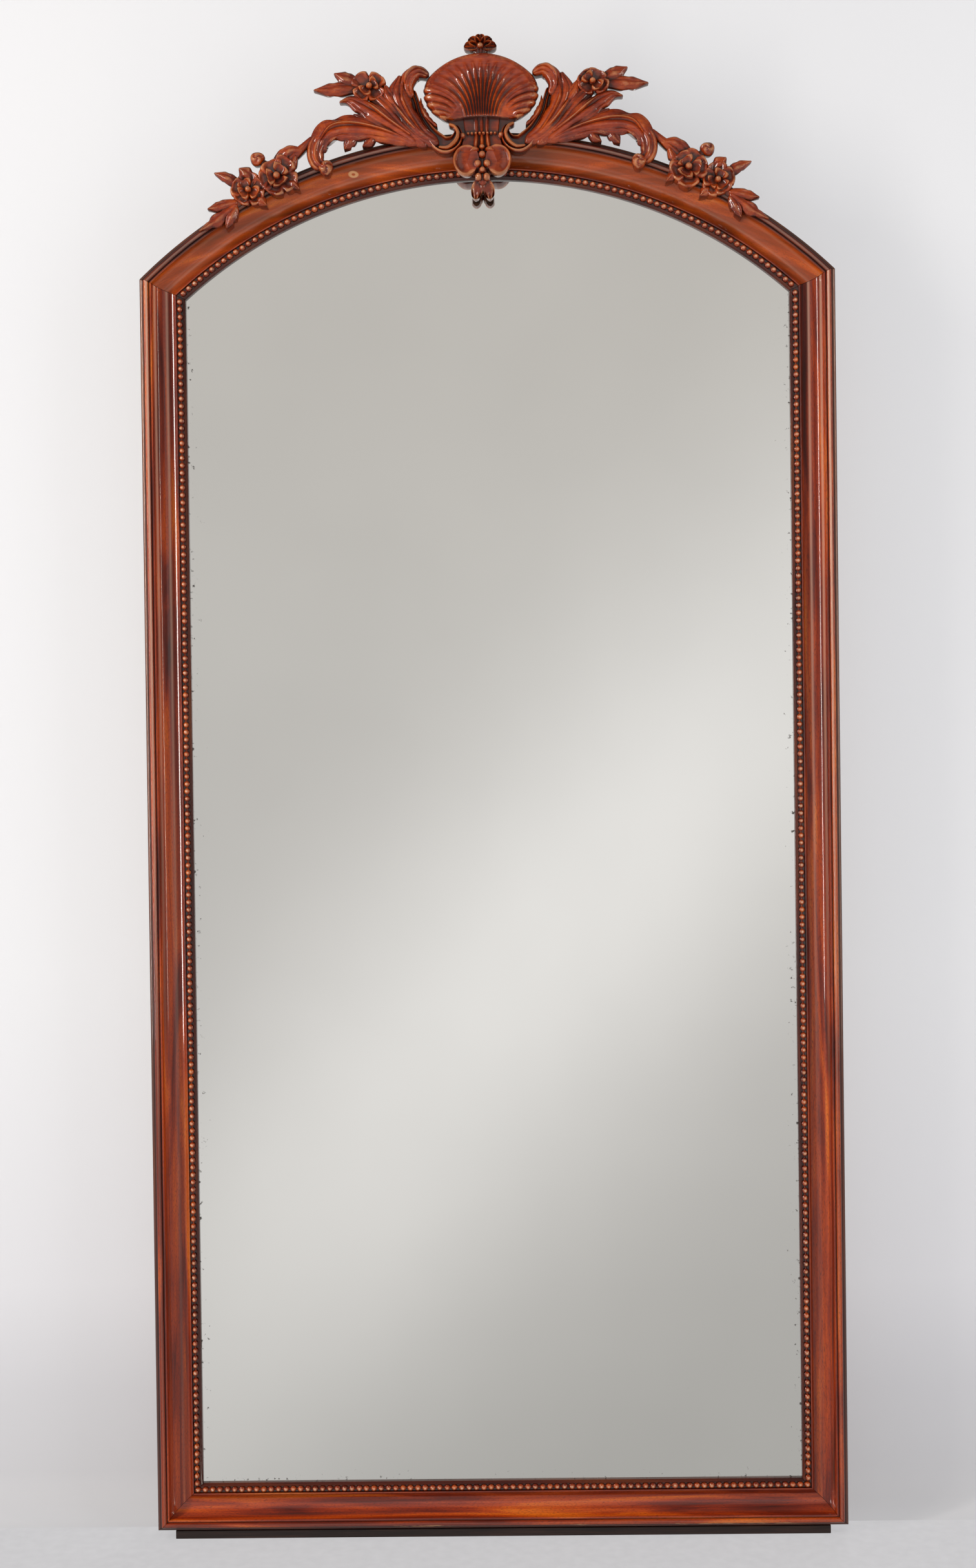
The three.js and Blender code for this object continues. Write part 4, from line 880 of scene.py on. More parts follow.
# %% [markdown]
# ## Round forms: flowers, berries and dishes
#
# Flowers, buds and berries are carved round a middle. A polar grid suits them: one function gives the
# outline for each angle and another the height for each share of the way out. A flower's petals are
# dished, with a rolled rim that takes the light and a dark valley between two petals.

# %% Round forms
def round_form(s, u, radius_at, relief_at, rings=12, sides=48, seat=CREST_SEAT):
    """Closed body round (s, u); radius_at(angle) and relief_at(share, angle) take arrays."""
    share = np.linspace(0, 1, rings + 1)[1:, None]
    angle = np.linspace(0, 2 * math.pi, sides, endpoint=False)[None, :]
    radius = np.broadcast_to(radius_at(angle), (rings, sides)) * share
    height = np.broadcast_to(relief_at(share, angle), (rings, sides))
    top = np.stack([s + radius * np.sin(angle), u + radius * np.cos(angle), seat + height], -1)
    top = np.vstack([[(s, u, seat + float(np.mean(relief_at(np.array([[0.0]]), angle))))],
                     top.reshape(-1, 3)])
    ground = (top[-sides:] - (s, u, 0)) * (0.84, 0.84, 1) + (s, u, 0)
    ground[:, 2] = np.minimum(underside(ground[:, 0], ground[:, 1]), ground[:, 2] - LEAST_THICKNESS)
    middle = np.array([[s, u, float(ground[:, 2].mean())]])
    points = np.vstack([top, ground, middle])
    faces = [(0, 1 + (k + 1) % sides, 1 + k) for k in range(sides)]
    for ring in range(rings):
        a = 1 + ring * sides
        for k in range(sides):
            n = (k + 1) % sides
            faces.append((a + k, a + n, a + sides + n, a + sides + k))
    last = 1 + rings * sides
    faces += [(last + k, last + (k + 1) % sides, last + sides) for k in range(sides)]
    return points, faces


def berry(s, u, radius, height):
    return round_form(s, u, lambda a: radius + 0 * a,
                      lambda r, a: height * (0.25 + 0.75 * np.sqrt(np.clip(1 - r ** 2.2, 0, 1))),
                      rings=7, sides=20)


def cupped(t, v):
    """Section of a petal: hollow in the middle, with a rim that rolls over at the edge."""
    rim = np.exp(-((np.abs(v) - 0.76) / 0.24) ** 2) + np.exp(-((t - 0.90) / 0.10) ** 2)
    rim = np.clip(rim, 0, 1.15) * np.clip(3.2 * t, 0, 1)
    return 0.62 + 0.36 * rim - 0.24 * (np.abs(v) > 0.95) - 0.30 * np.clip((t - 0.96) / 0.04, 0, 1)


def flower(s, u, radius, petals, height, turn, seed):
    """Open rose: a ring of large cupped petals, a ring of small ones and a heart."""
    chance = random.Random(seed)
    forms = []
    for count, reach, wide, rise, shift in (
            (petals, 1.0, 0.56, 0.80, 0.0), (petals - 2, 0.60, 0.44, 1.12, 0.5)):
        for i in range(count):
            angle = turn + 2 * math.pi * (i + shift) / count + chance.uniform(-0.22, 0.22)
            long = radius * reach * chance.uniform(0.82, 1.10)
            tall = height * rise * chance.uniform(0.76, 1.08)
            bend = chance.uniform(-0.12, 0.12)
            spine = [(s + long * r * math.sin(angle + bend * r), u + long * r * math.cos(angle + bend * r))
                     for r in (0.08, 0.4, 0.72, 1.0)]
            wides = [radius * wide * w for w in (0.45, 0.90, 1.05, 0.50)]
            forms.append(leaf(spine, wides, [tall * 0.72, tall * 0.84, tall, tall * 0.80],
                              relief=cupped, sweep=0.1))
    forms.append(berry(s, u, radius * 0.20, height * 1.12))
    return forms


def bud(s, u, radius, height, turn=0.3):
    """Closed bud with three folded sepals."""
    def relief(r, a):
        fold = 0.09 * np.cos(3 * (a - turn) + 5 * r)
        return height * (0.3 + 0.7 * np.sqrt(np.clip(1 - r ** 2.2, 0, 1)) + fold * (r > 0.12))
    return round_form(s, u, lambda a: radius * (1 + 0.05 * np.cos(3 * (a - turn))), relief,
                      rings=10, sides=36)


print("a rose is", len(flower(0, 0, 25, 5, 16, 0.0, 1)), "forms")

# %% [markdown]
# ## The carved pieces of the crest
#
# The lists below are the carver's drawing of the right-hand side: each line is one leaf with its spine,
# half widths and heights. The left-hand side is the same drawing turned over. C-scrolls have their own
# section, two ribs with a hollow between, because they are mouldings that happen to curl.

# %% Scrolls, wings and long leaves
def ribbed(t, v):
    """Section of the C-scroll: a bright rib at each edge, and higher up one between them."""
    rim = np.exp(-((np.abs(v) - 0.80) / 0.14) ** 2)
    between = 0.50 * np.exp(-(v / 0.16) ** 2) * np.clip((t - 0.42) / 0.15, 0, 1)
    return 0.36 + 0.60 * rim + between - 0.30 * (np.abs(v) > 0.95)


def curled(t, v):
    """Section of a curled tip: round on top, rolled under at the end."""
    return 0.35 + 0.65 * np.sqrt(np.clip(1 - v ** 2, 0, 1)) + 0.05 * np.cos(9 * v)


def reeded(t, v):
    """Section of a broad curl: round, with three shallow flutes along it."""
    return curled(t, v) - 0.14 * np.abs(np.sin(1.5 * math.pi * v)) * (1 - v ** 4)


LOW = 3.5  # height of a form where it slips under another


scroll_forms = [
    leaf([(37, 0), (34, -12), (41, -24), (56, -26), (70, -12), (80, 6), (86, 23), (88, 40),
          (91, 56)], [3, 8, 12, 13, 10, 8, 7, 6, 6], [8, 12, 13, 12, 11, 10, 10, 9, 9], sweep=0,
         relief=ribbed),
    leaf([(46, 2), (38, -3), (34, -13), (38, -23), (50, -31), (64, -29)], [2, 2.6, 3, 3, 2.6, 2],
         [11, 15, 16.5, 16, 14, 11], relief=curled, sweep=0),
    leaf([(92, 44), (96, 60), (90, 74), (78, 79), (66, 72)], [6, 9, 11, 10, 4],
         [9, 12, 13, 13, 9], veins=1.5, sweep=0),
    leaf([(98, 58), (95, 74), (83, 85), (68, 80)], [2.5, 3.5, 3.5, 1.5], [11, 15, 15, 10],
         relief=curled, sweep=0),
    leaf([(62, 0), (74, 14), (80, 30), (80, 44)], [3, 5, 0.6], [7, 10, 7], lobes=6, veins=1)]


wing_forms = [
    leaf([(62, -26), (88, -4), (103, 26), (108, 54), (100, 78)], [9, 14, 17, 15, 4],
         [9, 12, 14, 13, 9], lobes=2, veins=1.5),
    leaf([(80, -26), (108, 6), (128, 42), (147, 72)], [9, 12, 12, 7], [9, 12, 12, LOW],
         veins=1.5),
    leaf([(108, 28), (120, 50), (124, 72)], [6, 11, 0.6], [9, 13, 8], lobes=2, veins=1),
    leaf([(92, -22), (122, 8), (150, 38), (170, 59), (185, 62)], [10, 16, 18, 12, 0.6],
         [9, 13, 14, 12, 7], lobes=3, veins=1.5),
    leaf([(138, 16), (156, 26), (172, 40)], [6, 9, 0.5], [8, 11, 7], lobes=2, veins=1),
    leaf([(100, -8), (124, 16), (146, 44), (164, 62)], [3, 4.5, 4.5, 1], [13, 16.5, 16.5, 9],
         veins=1),
    leaf([(92, -2), (103, 14), (112, 32), (118, 46)], [3, 4, 4, 1], [14, 17, 16.5, 11],
         veins=1),
    leaf([(84, -8), (98, 20), (104, 46), (99, 68)], [2.5, 3.5, 3.5, 1], [12, 16, 16, 11],
         relief=curled, sweep=0),
    leaf([(150, 76), (166, 88), (182, 103)], [6, 11, 0.5], [LOW, 11, 6], lobes=2, veins=1),
    leaf([(152, 74), (184, 80), (212, 89)], [6, 12, 0.5], [LOW, 11, 6], lobes=2, veins=1)]


long_leaf_forms = [
    leaf([(100, -18), (140, 4), (178, 20), (208, 24), (230, 12)], [9, 14, 19, 18, 12],
         [8, 12, 14, 14, 12], lobes=3, veins=1.5, sweep=0.9),
    leaf([(104, -14), (142, 10), (180, 28), (206, 31), (226, 17)], [2.5, 3.5, 4, 4, 3],
         [11, 15, 16.5, 16.5, 13], veins=1, sweep=0),
    leaf([(216, 26), (233, 11), (239, -7), (233, -20)], [10, 13, 12, 9], [11, 13, 14, 12],
         relief=reeded, sweep=0),
    leaf([(148, 6), (160, -3), (171, -7)], [6, 7, 0.5], [8, 9, 6], veins=1),
    leaf([(174, 12), (187, 3), (197, -4)], [7, 9, 0.5], [8, 10, 6], lobes=2, veins=1),
    bud(230, -21, 11.0, 16, 0.8)]


print("scroll, wing and long leaf are drawn")

# %% Garlands and crest flowers
garland_forms = [
    leaf([(232, 26), (256, 16), (292, 4)], [4, 7, 6], [8, 9, LOW], relief=curled, sweep=0),
    leaf([(250, 13), (270, 20), (291, 15)], [4, 10, 6], [8, 11, LOW], lobes=2, veins=1),
    leaf([(262, 12), (274, 0), (288, -6)], [3, 8, 5], [8, 10, LOW], lobes=2, veins=1),
    leaf([(298, 8), (313, 27)], [5, 5], [LOW, 8], relief=curled, sweep=0),
    bud(313, 29, 10, 13),
    leaf([(290, -14), (282, -25), (277, -35)], [6, 7, 0.5], [LOW, 9, 6], veins=1),
    leaf([(286, -4), (344, -6), (374, -12)], [8, 8, 7], [LOW, LOW, 8], relief=curled, sweep=0),
    leaf([(334, 2), (336, 18), (341, 30)], [6, 10, 0.6], [LOW, 11, 7], veins=1),
    leaf([(349, 4), (361, 26), (373, 42)], [6, 9, 0.5], [LOW, 11, 6], lobes=2, veins=1),
    leaf([(341, -14), (336, -24), (331, -35)], [6, 8, 0.5], [LOW, 10, 6], veins=1),
    leaf([(364, -12), (388, -4), (407, 4)], [6, 10, 0.5], [9, 11, 6], lobes=2, veins=1),
    leaf([(366, -13), (402, -17), (435, -15)], [6, 10, 0.5], [9, 11, 6], lobes=3, veins=1),
    leaf([(368, -16), (386, -25), (400, -34)], [6, 9, 0.5], [9, 11, 6], lobes=2, veins=1)]


ROSES = {  # s, u, radius, petals, height, turn and seed
    "crest_flower": (143, 72, 23, 4, 16, 0.5, 3),
    "garland_flower_inner": (299, -5, 29, 5, 16, 0.2, 8),
    "garland_flower_outer": (344, -4, 25, 5, 15, 0.9, 13)}
print("garlands and flowers are drawn")

# %% [markdown]
# ## The shell
#
# A scallop shell, fluted like a sheaf: fine ridges rise from the hinge and bow outwards, the top is a
# smooth cupped rim, and at both sides the rim curls over in short ribs, like ears. Its grid runs from
# the hinge (0) to the rim (1), and from one ear to the other.

# %% Shell
SHELL_BASE, SHELL_RADIUS, SHELL_SIDE_RADIUS = 6.0, 93.0, 50.0


def crest_shell():
    columns, rows = 181, 60
    k = np.linspace(-1, 1, columns)[None, :]
    t = np.linspace(0, 1, rows)[:, None]
    turn = np.abs(k) * 90
    shoulder = np.clip((turn - 42) / 48, 0, 1)
    radius = SHELL_RADIUS + (SHELL_SIDE_RADIUS - SHELL_RADIUS) * shoulder ** 2
    ear = np.clip((np.abs(k) - 0.6) / 0.06, 0, 1)
    ear_wave = np.abs(np.sin(math.pi * (np.abs(k) - 0.6) / 0.08)) ** 0.8
    radius = radius * (1 + ear * (0.03 * ear_wave - 0.02))
    rim_s = radius * np.sin(np.radians(90 * k))
    rim_u = SHELL_BASE + radius * np.cos(np.radians(90 * k))
    base_s = 30 * k + 20 * k ** 3
    base_u = SHELL_BASE + 1 + 4 * (1 - k ** 2)
    s = base_s + (rim_s - base_s) * t ** 1.8
    u = base_u + (rim_u - base_u) * (1 - (1 - t) ** 1.3)
    marks = [0, 0.25, 0.5, 0.72, 0.88, 0.96, 1.0]
    height = np.interp(t, marks, [9, 13, 14.5, 15.5, 15, 11.5, 4])
    sheaf = (1 - np.abs(np.sin(math.pi * k / 0.1)) ** 1.2) ** 1.3 * (1 - ear)
    end = 0.78 + 0.18 * (np.abs(k) / 0.6) ** 2
    fade = np.clip((end - t) / 0.34, 0, 1) ** 0.8 * np.clip(t / 0.04, 0.3, 1)
    ribs = 4.0 * ear * ear_wave * np.clip((t - 0.30) / 0.25, 0, 1)
    depth = CREST_SEAT + height + 3.4 * sheaf * fade + ribs - 3.0 * ear * np.clip(t - 0.3, 0, 1)
    top = np.stack([s + 0 * t, u + 0 * t, depth + 0 * s], -1).reshape(-1, 3)
    ground = (top - (0, 30, 0)) * (0.94, 0.94, 0) + (0, 30, 0)
    return [closed_grid(top, rows, columns, ground)]


print("shell grid has", len(crest_shell()[0][0]), "points")

# %% [markdown]
# ## Neck, pendant and finial
#
# Under the shell, on a low dark plate, a fluted neck with two knobs leads down to the pendant: two
# dished lobes, a string of berries and two drop petals that hang over the cove and the edge of the
# glass. A small five-petalled flower on a stalk tops the shell.

# %% Neck, pendant and finial
LOBE_SPREAD, LOBE_CENTRE, LOBE_RADIUS = 25.0, -57.0, 20.0
FINIAL_HEART = 109.0


def fluted(t, v):
    """Hollow drum with upright flutes."""
    flutes = np.exp(-((np.abs(v) - 0.30) / 0.08) ** 2) + np.exp(-(v / 0.08) ** 2)
    return 0.45 + 0.55 * np.abs(v) ** 1.6 + 0.75 * flutes - 0.35 * (np.abs(v) > 0.96)


def crest_neck():
    forms = [leaf([(0, 14), (0, 1), (0, -12)], [51, 44, 36], [2, 2, 3], relief=curled, sweep=0,
                  round_ends=False),
             leaf([(0, 17), (0, -11), (0, -38)], [26, 24, 33], [3, 5, 9], relief=fluted, sweep=0,
                  round_ends=False)]
    forms += [berry(s, -13, 2.6, 9.5) for s in (-19.5, -14, -8.5, -3, 2.5, 8, 13.5, 19)]
    forms += [berry(side * 28, -16, 5.0, 13) for side in (-1, 1)]
    return forms


def lobe_relief(r, a):
    """Dish that is open towards the middle and has a rolled rim on its outer side."""
    outer = np.clip(0.35 + 0.9 * np.sin(a), 0, 1)
    dish = 8.0 - 2.2 * np.sin(math.pi * np.clip(r, 0, 1)) * outer + 3.0 * (1 - outer) * r
    rim = 5.0 * outer * np.exp(-((r - 0.86) / 0.07) ** 2)
    return dish + rim - 5.0 * np.clip((r - 0.92) / 0.08, 0, 1) ** 2


def drop(t, v):
    """Dished petal with a pale rolled rim."""
    rim = np.exp(-((np.abs(v) - 0.8) / 0.2) ** 2)
    return 0.45 + 0.55 * rim + 0.25 * np.exp(-(v / 0.18) ** 2) - 0.25 * (np.abs(v) > 0.95)


def crest_pendant():
    low = LOBE_CENTRE - LOBE_RADIUS - 1
    forms = [leaf([(0, -34), (0, -57), (0, -86)], [8, 9, 7], [7, 8, 7], relief=curled, sweep=0)]
    for side in (-1, 1):
        forms.append(mirrored(round_form(
            LOBE_SPREAD - 2, LOBE_CENTRE + 3,
            lambda a: LOBE_RADIUS * (1.06 + 0.20 * np.cos(a - 0.35) + 0.06 * np.cos(2 * a)), lobe_relief,
            rings=16, sides=64), side))
        forms.append(mirrored(leaf([(4, low), (10, low - 13), (12, low - 25)], [7, 9.5, 6],
                                   [8, -2, -14], relief=drop, sweep=0), side))
        forms.append(berry(side * 7, -57, 6.5, 17))
        forms.append(berry(side * 6, -75, 6, 16))
        forms.append(mirrored(leaf([(4, -38), (12, -36), (19, -41)], [3, 4, 2.5], [12, 14, 9],
                                   relief=curled, sweep=0), side))
    forms += [berry(0, -44, 6, 16.5), berry(0, -66, 5.5, 17.5), berry(0, -33, 4.5, 14)]
    return forms


def crest_finial():
    forms = [leaf([(0, 94), (0, 110)], [12, 7], [8, 9], veins=2)]
    for degrees, reach in ((-84, 20), (-44, 19), (0, 19), (44, 19), (84, 20)):
        way = (math.sin(math.radians(degrees)), math.cos(math.radians(degrees)))
        spine = [(reach * r * way[0], FINIAL_HEART - 1 + reach * r * way[1]) for r in (0, 0.6, 1)]
        forms.append(leaf(spine, [4, 8, 5.5], [10, 13, 9], relief=drop, sweep=0))
    return forms + [berry(0, FINIAL_HEART, 5, 15)]


carvings = {"crest_finial": crest_finial(), "crest_shell": crest_shell(),
            "crest_pendant": crest_pendant(), "crest_neck": crest_neck()}
for kind, drawn in (("crest_scroll", scroll_forms), ("crest_wing", wing_forms), ("crest_flower", None),
                    ("crest_long_leaf", long_leaf_forms), ("garland", garland_forms),
                    ("garland_flower_inner", None), ("garland_flower_outer", None)):
    for side, word in SIDES:
        forms = drawn or flower(*ROSES[kind][:-1], seed=ROSES[kind][-1] + side)
        carvings[f"{kind}_{word}"] = [mirrored(form, side) for form in forms]
print(len(carvings), "carved pieces,", sum(len(p) for fs in carvings.values() for p, _ in fs),
      "points")

# %% [markdown]
# ## Where shade and highlights are painted
#
# Seen from the front, all the carving together is one relief. A map of its heights, blurred, says how
# high the surroundings of each point are. A point above its surroundings is a ridge, painted pale as
# worn polish and painted highlight, and a point below them is a hollow, painted dark as shade. The map
# is made from all pieces at once, so a leaf's ground is painted in shade where another leaf stands
# over it.

# %% Relief map of the whole crest
MAP_CELL = 2.0
MAP_LOW = np.array([-460.0, -125.0])
MAP_SIZE = (460, 136)
GLASS_FROM_U, OVER_GLASS_LEVEL, OVER_WOOD_LEVEL = -68, 32.0, CREST_SEAT + 3.5
NEAR_BLUR, FAR_BLUR = 1.6, 5.0  # in cells of the map


def blurred(field, cells):
    reach = int(3 * cells)
    kernel = np.exp(-0.5 * (np.arange(-reach, reach + 1) / cells) ** 2)
    kernel /= kernel.sum()
    for axis in (0, 1):
        field = np.apply_along_axis(
            lambda line: np.convolve(np.pad(line, reach, mode="edge"), kernel, mode="valid"),
            axis, field)
    return field


def cell_of(points):
    cells = ((points[:, :2] - MAP_LOW) / MAP_CELL).astype(int)
    return np.clip(cells[:, 0], 0, MAP_SIZE[0] - 1), np.clip(cells[:, 1], 0, MAP_SIZE[1] - 1)


grid_u = MAP_LOW[1] + (np.arange(MAP_SIZE[1]) + 0.5) * MAP_CELL
foot = np.where(grid_u > GLASS_FROM_U, OVER_WOOD_LEVEL, OVER_GLASS_LEVEL)
relief_map = np.tile(foot[None, :], (MAP_SIZE[0], 1))
for forms in carvings.values():
    for points, _ in forms:
        np.maximum.at(relief_map, cell_of(points), points[:, 2])
near_map, far_map = blurred(relief_map, NEAR_BLUR), blurred(relief_map, FAR_BLUR)
print("relief from", relief_map.min().round(1), "to", relief_map.max().round(1), "mm")

# %% [markdown]
# Each carved piece is its forms together, bent onto the arch. Their flat sawn backs all lie on one
# level, so each form's back is set a little in front of the one before, and no two coincide.

# %% Carved pieces in place
BACK_STEP = 0.12
SAME_LEVEL = 0.02
NEAR_STAND, FAR_STAND = 5.2, 40.0  # mm above the near and the far surroundings that make a full ridge
# Ground points keep at least this much, so the painted shade under each leaf's edge stays short of black.
GROUND_EDGE = 0.36
FULL_HEIGHT = 14.0

for name, forms in carvings.items():
    points, faces, start = [], [], 0
    for form_points, form_faces in forms:
        points.append(form_points)
        faces += [tuple(v + start for v in f) for f in form_faces]
        start += len(form_points)
    order = np.concatenate([np.full(len(p), i) for i, p in enumerate(points)])
    points = np.vstack(points)
    on_ground = points[:, 2] <= underside(points[:, 0], points[:, 1]) + SAME_LEVEL
    points[:, 2] += BACK_STEP * order * on_ground
    kinds = [int(all(on_ground[v] for v in f)) for f in faces]
    piece = build(name.replace("_", "-"), crest_place(points), faces, [carved_mahogany, sawn_level],
                  face_material=kinds, sharp=48)
    cells = cell_of(points)
    stands = (points[:, 2] - near_map[cells]) / NEAR_STAND
    stands += (points[:, 2] - far_map[cells]) / FAR_STAND
    # Ridges get painted highlight and worn polish, hollows painted shade; high paints shade near the
    # ground.
    edge = np.clip(0.5 + stands, 0, 1)
    mark(piece, edge=np.where(on_ground, np.maximum(edge, GROUND_EDGE), edge),
         high=np.clip((points[:, 2] - CREST_SEAT) / FULL_HEIGHT, 0, 1))
    stand_in(piece, "carved_mahogany", name)
print("crest in place")

# %% [markdown]
# ## Back of the frame
#
# The boards, the batten, the block behind the shell and the small blocks that hold the glass have the
# right shape in CAD already. What they lack is what a plane does to an edge: a slight chamfer. Each is
# copied, eased and given its wood, and the copy stands for its node.

# %% Eased copies of plain pieces
def eased(node, width_mm, material, slot, segments=2):
    """Copy of a CAD node with its sharp edges rounded."""
    piece = bpy.data.objects.new(node.replace("_", "-"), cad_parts[node].data.copy())
    bpy.context.scene.collection.objects.link(piece)
    weld = piece.modifiers.new("weld", "WELD")
    weld.merge_threshold = 0.00001
    bevel = piece.modifiers.new("bevel", "BEVEL")
    bevel.width = width_mm * MM
    bevel.segments = segments
    bevel.limit_method = "ANGLE"
    bevel.angle_limit = math.radians(32)
    shown = piece.evaluated_get(bpy.context.evaluated_depsgraph_get())
    mesh = bpy.data.meshes.new_from_object(shown)
    piece.modifiers.clear()
    piece.data = mesh
    mesh.materials.clear()
    mesh.materials.append(material)
    mesh.polygons.foreach_set("material_index", np.zeros(len(mesh.polygons), np.int32))
    mesh.shade_smooth()
    mesh.set_sharp_from_angle(angle=math.radians(30))
    return stand_in(piece, slot, node)


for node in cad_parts:
    if node.startswith(("backboard", "glass_block")) or node == "crest_block":
        eased(node, 1.0, planed_pine, "pine")
eased("foot_batten", 1.2, stained_oak, "dark_foot", segments=3)
eased("crest_strap", 0.4, mild_steel, "steel")
print("back pieces eased")

# %% [markdown]
# ## Mirror plate, screws and hangers
#
# These have their right shape in CAD, so they keep their solids and only take what they are made of.

# %% Materials of the carried-over nodes
for node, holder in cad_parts.items():
    for word, material in (("mirror_plate", silvered_glass), ("screw", mild_steel),
                           ("hanger", pressed_brass)):
        if word in node:
            holder.data.materials.clear()
            holder.data.materials.append(material)
print("metals and glass dressed")

# %% [markdown]
# ## Floor, light and surroundings
#
# The photograph shows a pale floor and wall in soft light. Both are plain painted planes. A share of
# their tone is their own, so they stay pale and even, and the rest takes light and shadow. What the
# looking-glass mirrors comes from the world, and depends on Light Path.

# %% Floor
FLOOR_OWN_TONE = 0.8
FLOOR_HALF = 6.0


def painted(tree, tint, own_tone):
    """Matt paint that keeps a share of its own tone in any light."""
    matt = put(tree, "BsdfDiffuse", {"Color": tint})
    even = put(tree, "Emission", {"Color": tint, "Strength": 1.0})
    return put(tree, "MixShader", (own_tone, matt, even))


floor_paint, tree, place = new_material("floor, plain pale paint")
speck = put(tree, "TexNoise", {"Vector": place, "Scale": 60.0, "Detail": 3.0})
tint = put(tree, "ValToRGB", (speck,), ((0.3, "#CBCACC"), (0.7, "#D0CFD1")))
rays = put(tree, "LightPath").outputs
own_tone = put(tree, "Math", (rays["Is Camera Ray"], FLOOR_OWN_TONE), operation="MULTIPLY")
paint = painted(tree, tint, own_tone)
seen = put(tree, "MixShader", (rays["Is Glossy Ray"], paint, put(tree, "BsdfTransparent")))
put(tree, "OutputMaterial", (seen,))
corners = [(x * FLOOR_HALF, y * FLOOR_HALF, 0) for x, y in ((-1, -1), (1, -1), (1, 1), (-1, 1))]
floor = build("floor", corners, [(0, 1, 2, 3)], [floor_paint])
print("floor laid")

# %% [markdown]
# The mirror stands close in front of a pale wall that takes the soft shadow of its crest. The wall is
# there only for rays that leave the camera and meet its front: it is clear for light, for reflections
# and from behind, so it neither lights the mirror nor hides its back. Its own tone's share grows from
# 0.42 behind the mirror, where the shadow falls, to 0.95 far out, where it has to stay even.

# %% Wall with a curved foot
WALL_Y, WALL_CURVE, WALL_HALF, WALL_TOP = 0.085, 0.06, 3.2, 3.6
CURVE_STEPS = 12
OVER_FLOOR = 0.001
SHADOW_HALF, EVEN_FROM = 0.6, 1.8

wall_paint, tree, place = new_material("wall, plain pale paint")
axes = put(tree, "SeparateXYZ", (place,)).outputs
tint = put(tree, "ValToRGB", (axes["Z"],), (
    (0.02, "#CECDCF"), (0.18, "#D6D5D8"), (0.34, "#E6E5E8"), (0.8, "#F0F0F2")))
sideways = put(tree, "Math", (axes["X"],), operation="ABSOLUTE")
own_tone = put(tree, "MapRange", (sideways, SHADOW_HALF, EVEN_FROM, 0.42, 0.95))
behind = put(tree, "NewGeometry").outputs["Backfacing"]
from_camera = put(tree, "LightPath").outputs["Is Camera Ray"]
seen = put(tree, "Math", (from_camera, behind), operation="SUBTRACT")
seen = put(tree, "Math", (seen, 0.0), operation="MAXIMUM")
paint = painted(tree, tint, own_tone)
put(tree, "OutputMaterial", (put(tree, "MixShader", (seen, put(tree, "BsdfTransparent"), paint)),))
profile = [(WALL_Y, WALL_TOP)]
for step in range(CURVE_STEPS + 1):
    turn_down = math.radians(90 * step / CURVE_STEPS)
    profile.append((WALL_Y - WALL_CURVE * (1 - math.cos(turn_down)),
                    OVER_FLOOR + WALL_CURVE * (1 - math.sin(turn_down))))
wall_points = [(x, y, z) for y, z in profile for x in (-WALL_HALF, WALL_HALF)]
wall_faces = [(2 * i, 2 * i + 2, 2 * i + 3, 2 * i + 1) for i in range(len(profile) - 1)]
wall = build("wall", wall_points, wall_faces, [wall_paint])
print("wall stands", WALL_Y, "m behind the frame's middle")

# %% [markdown]
# The glass mirrors a plain room with one soft slanting glow. To the far sides, up and down, where only
# the polished wood looks, that room gets darker. A large soft key from the left front and a weaker fill
# from the right model the carving. Neither shows in glass or polish: two narrow strips beside them do,
# and draw the thin bright lines along the mouldings.

# %% World
GLOW_WIDTH, GLOW_LENGTH = 0.095, 0.35
GLOW_AXES = (((0.74, 0.0, -0.67), -0.075, GLOW_WIDTH),  # way, offset and reach, across the glow
             ((0.67, 0.0, 0.74), 0.045, GLOW_LENGTH))  # and along it
FAR_SIDES = (("X", 0.20, 0.42), ("Z", 0.40, 0.62))  # axis, and where the dark starts and is full

world = bpy.data.worlds.new("surroundings")
bpy.context.scene.world = world
world.use_nodes = True
tree = world.node_tree
tree.nodes.clear()
rays = put(tree, "LightPath").outputs
seen = put(tree, "Math", (rays["Is Camera Ray"], rays["Is Transmission Ray"]), operation="MAXIMUM")
way = put(tree, "TexCoord").outputs["Generated"]
axes = put(tree, "SeparateXYZ", (way,)).outputs
rise = put(tree, "MapRange", (axes["Z"], -0.5, 0.5))
room = put(tree, "ValToRGB", (rise,), (
    (0.15, "#B4B3B0"), (0.38, "#C7C5C2"), (0.55, "#CCCAC6"), (0.72, "#CBC8C3")))
squares = []
for axis, offset, reach in GLOW_AXES:
    far = put(tree, "VectorMath", (way, [part / reach for part in axis]), operation="DOT_PRODUCT")
    far = put(tree, "Math", (far, offset / reach), operation="ADD")
    squares.append(put(tree, "Math", (far, far), operation="MULTIPLY"))
far = put(tree, "Math", (put(tree, "Math", squares, operation="ADD"), -1.0), operation="MULTIPLY")
glow = put(tree, "Math", (far,), operation="EXPONENT")
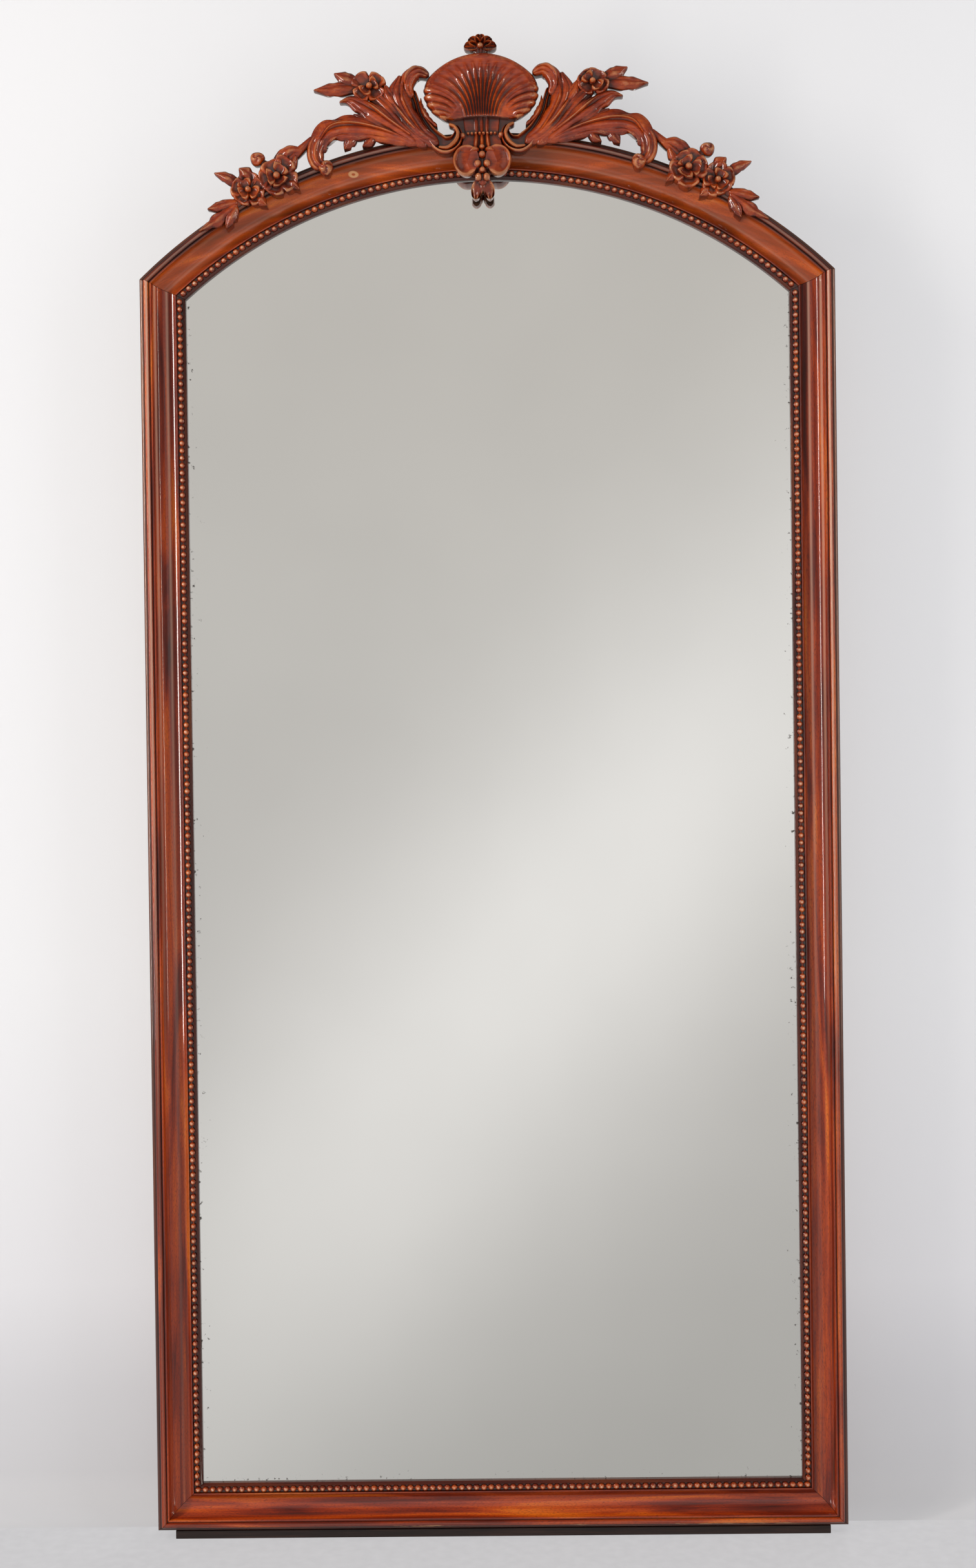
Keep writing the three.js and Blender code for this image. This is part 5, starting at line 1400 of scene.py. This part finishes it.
room = put(tree, "Mix", {0: glow, 6: room, 7: linear("#F3F2F0")}, data_type="RGBA")
away = []
for axis, start, full in FAR_SIDES:
    size = put(tree, "Math", (axes[axis],), operation="ABSOLUTE")
    away.append(put(tree, "MapRange", (size, start, full)))
far_room = put(tree, "ValToRGB", (rise,), ((0.25, "#AEADAA"), (0.48, "#9A9894"), (0.62, "#72706C")))
room = put(tree, "Mix", {
    0: put(tree, "Math", away, operation="MAXIMUM"), 6: room, 7: far_room}, data_type="RGBA")
mirrored_room = put(tree, "Background", (room, 1.0))
soft = put(tree, "Background", (linear("#F4F4F4"), 0.42))
lit = put(tree, "MixShader", (rays["Is Glossy Ray"], soft, mirrored_room))
backdrop = put(tree, "Background", (linear("#F1F1F0"), 1.0))
put(tree, "OutputWorld", (put(tree, "MixShader", (seen, lit, backdrop)),))
print(world.name, "has", len(tree.nodes), "nodes")

# %% Lamps
def lamp(name, place, aim, size, watts, colour="#FFFFFF", mirrored=False):
    """Soft rectangular lamp that looks at a point; polish reflects it where mirrored is true."""
    data = bpy.data.lights.new(name, "AREA")
    data.shape = "RECTANGLE"
    data.size, data.size_y = size
    data.energy = watts
    data.color = linear(colour)[:3]
    made = bpy.data.objects.new(name, data)
    made.location = place
    made.rotation_euler = (Vector(aim) - Vector(place)).to_track_quat("-Z", "Y").to_euler()
    made.visible_glossy = mirrored
    bpy.context.scene.collection.objects.link(made)
    return made


lamp("key", (-2.9, -1.8, 1.75), (0, 0, 1.2), (0.7, 3.0), 46, "#FFF8EE")
lamp("key strip", (-3.0, -1.6, 1.75), (0, 0, 1.2), (0.20, 3.0), 54, "#FFFAF5", mirrored=True)
lamp("fill", (2.9, -1.9, 1.6), (0, 0, 1.1), (1.3, 2.9), 35, "#F6F9FF")
lamp("fill strip", (3.3, -1.3, 1.6), (0, 0, 1.2), (0.12, 2.8), 18, "#FFF4E4", mirrored=True)
lamp("back", (1.6, 3.2, 2.8), (0, 0, 1.1), (2.0, 2.0), 50)
bpy.context.scene.view_settings.view_transform = "Standard"
print("lamps set")
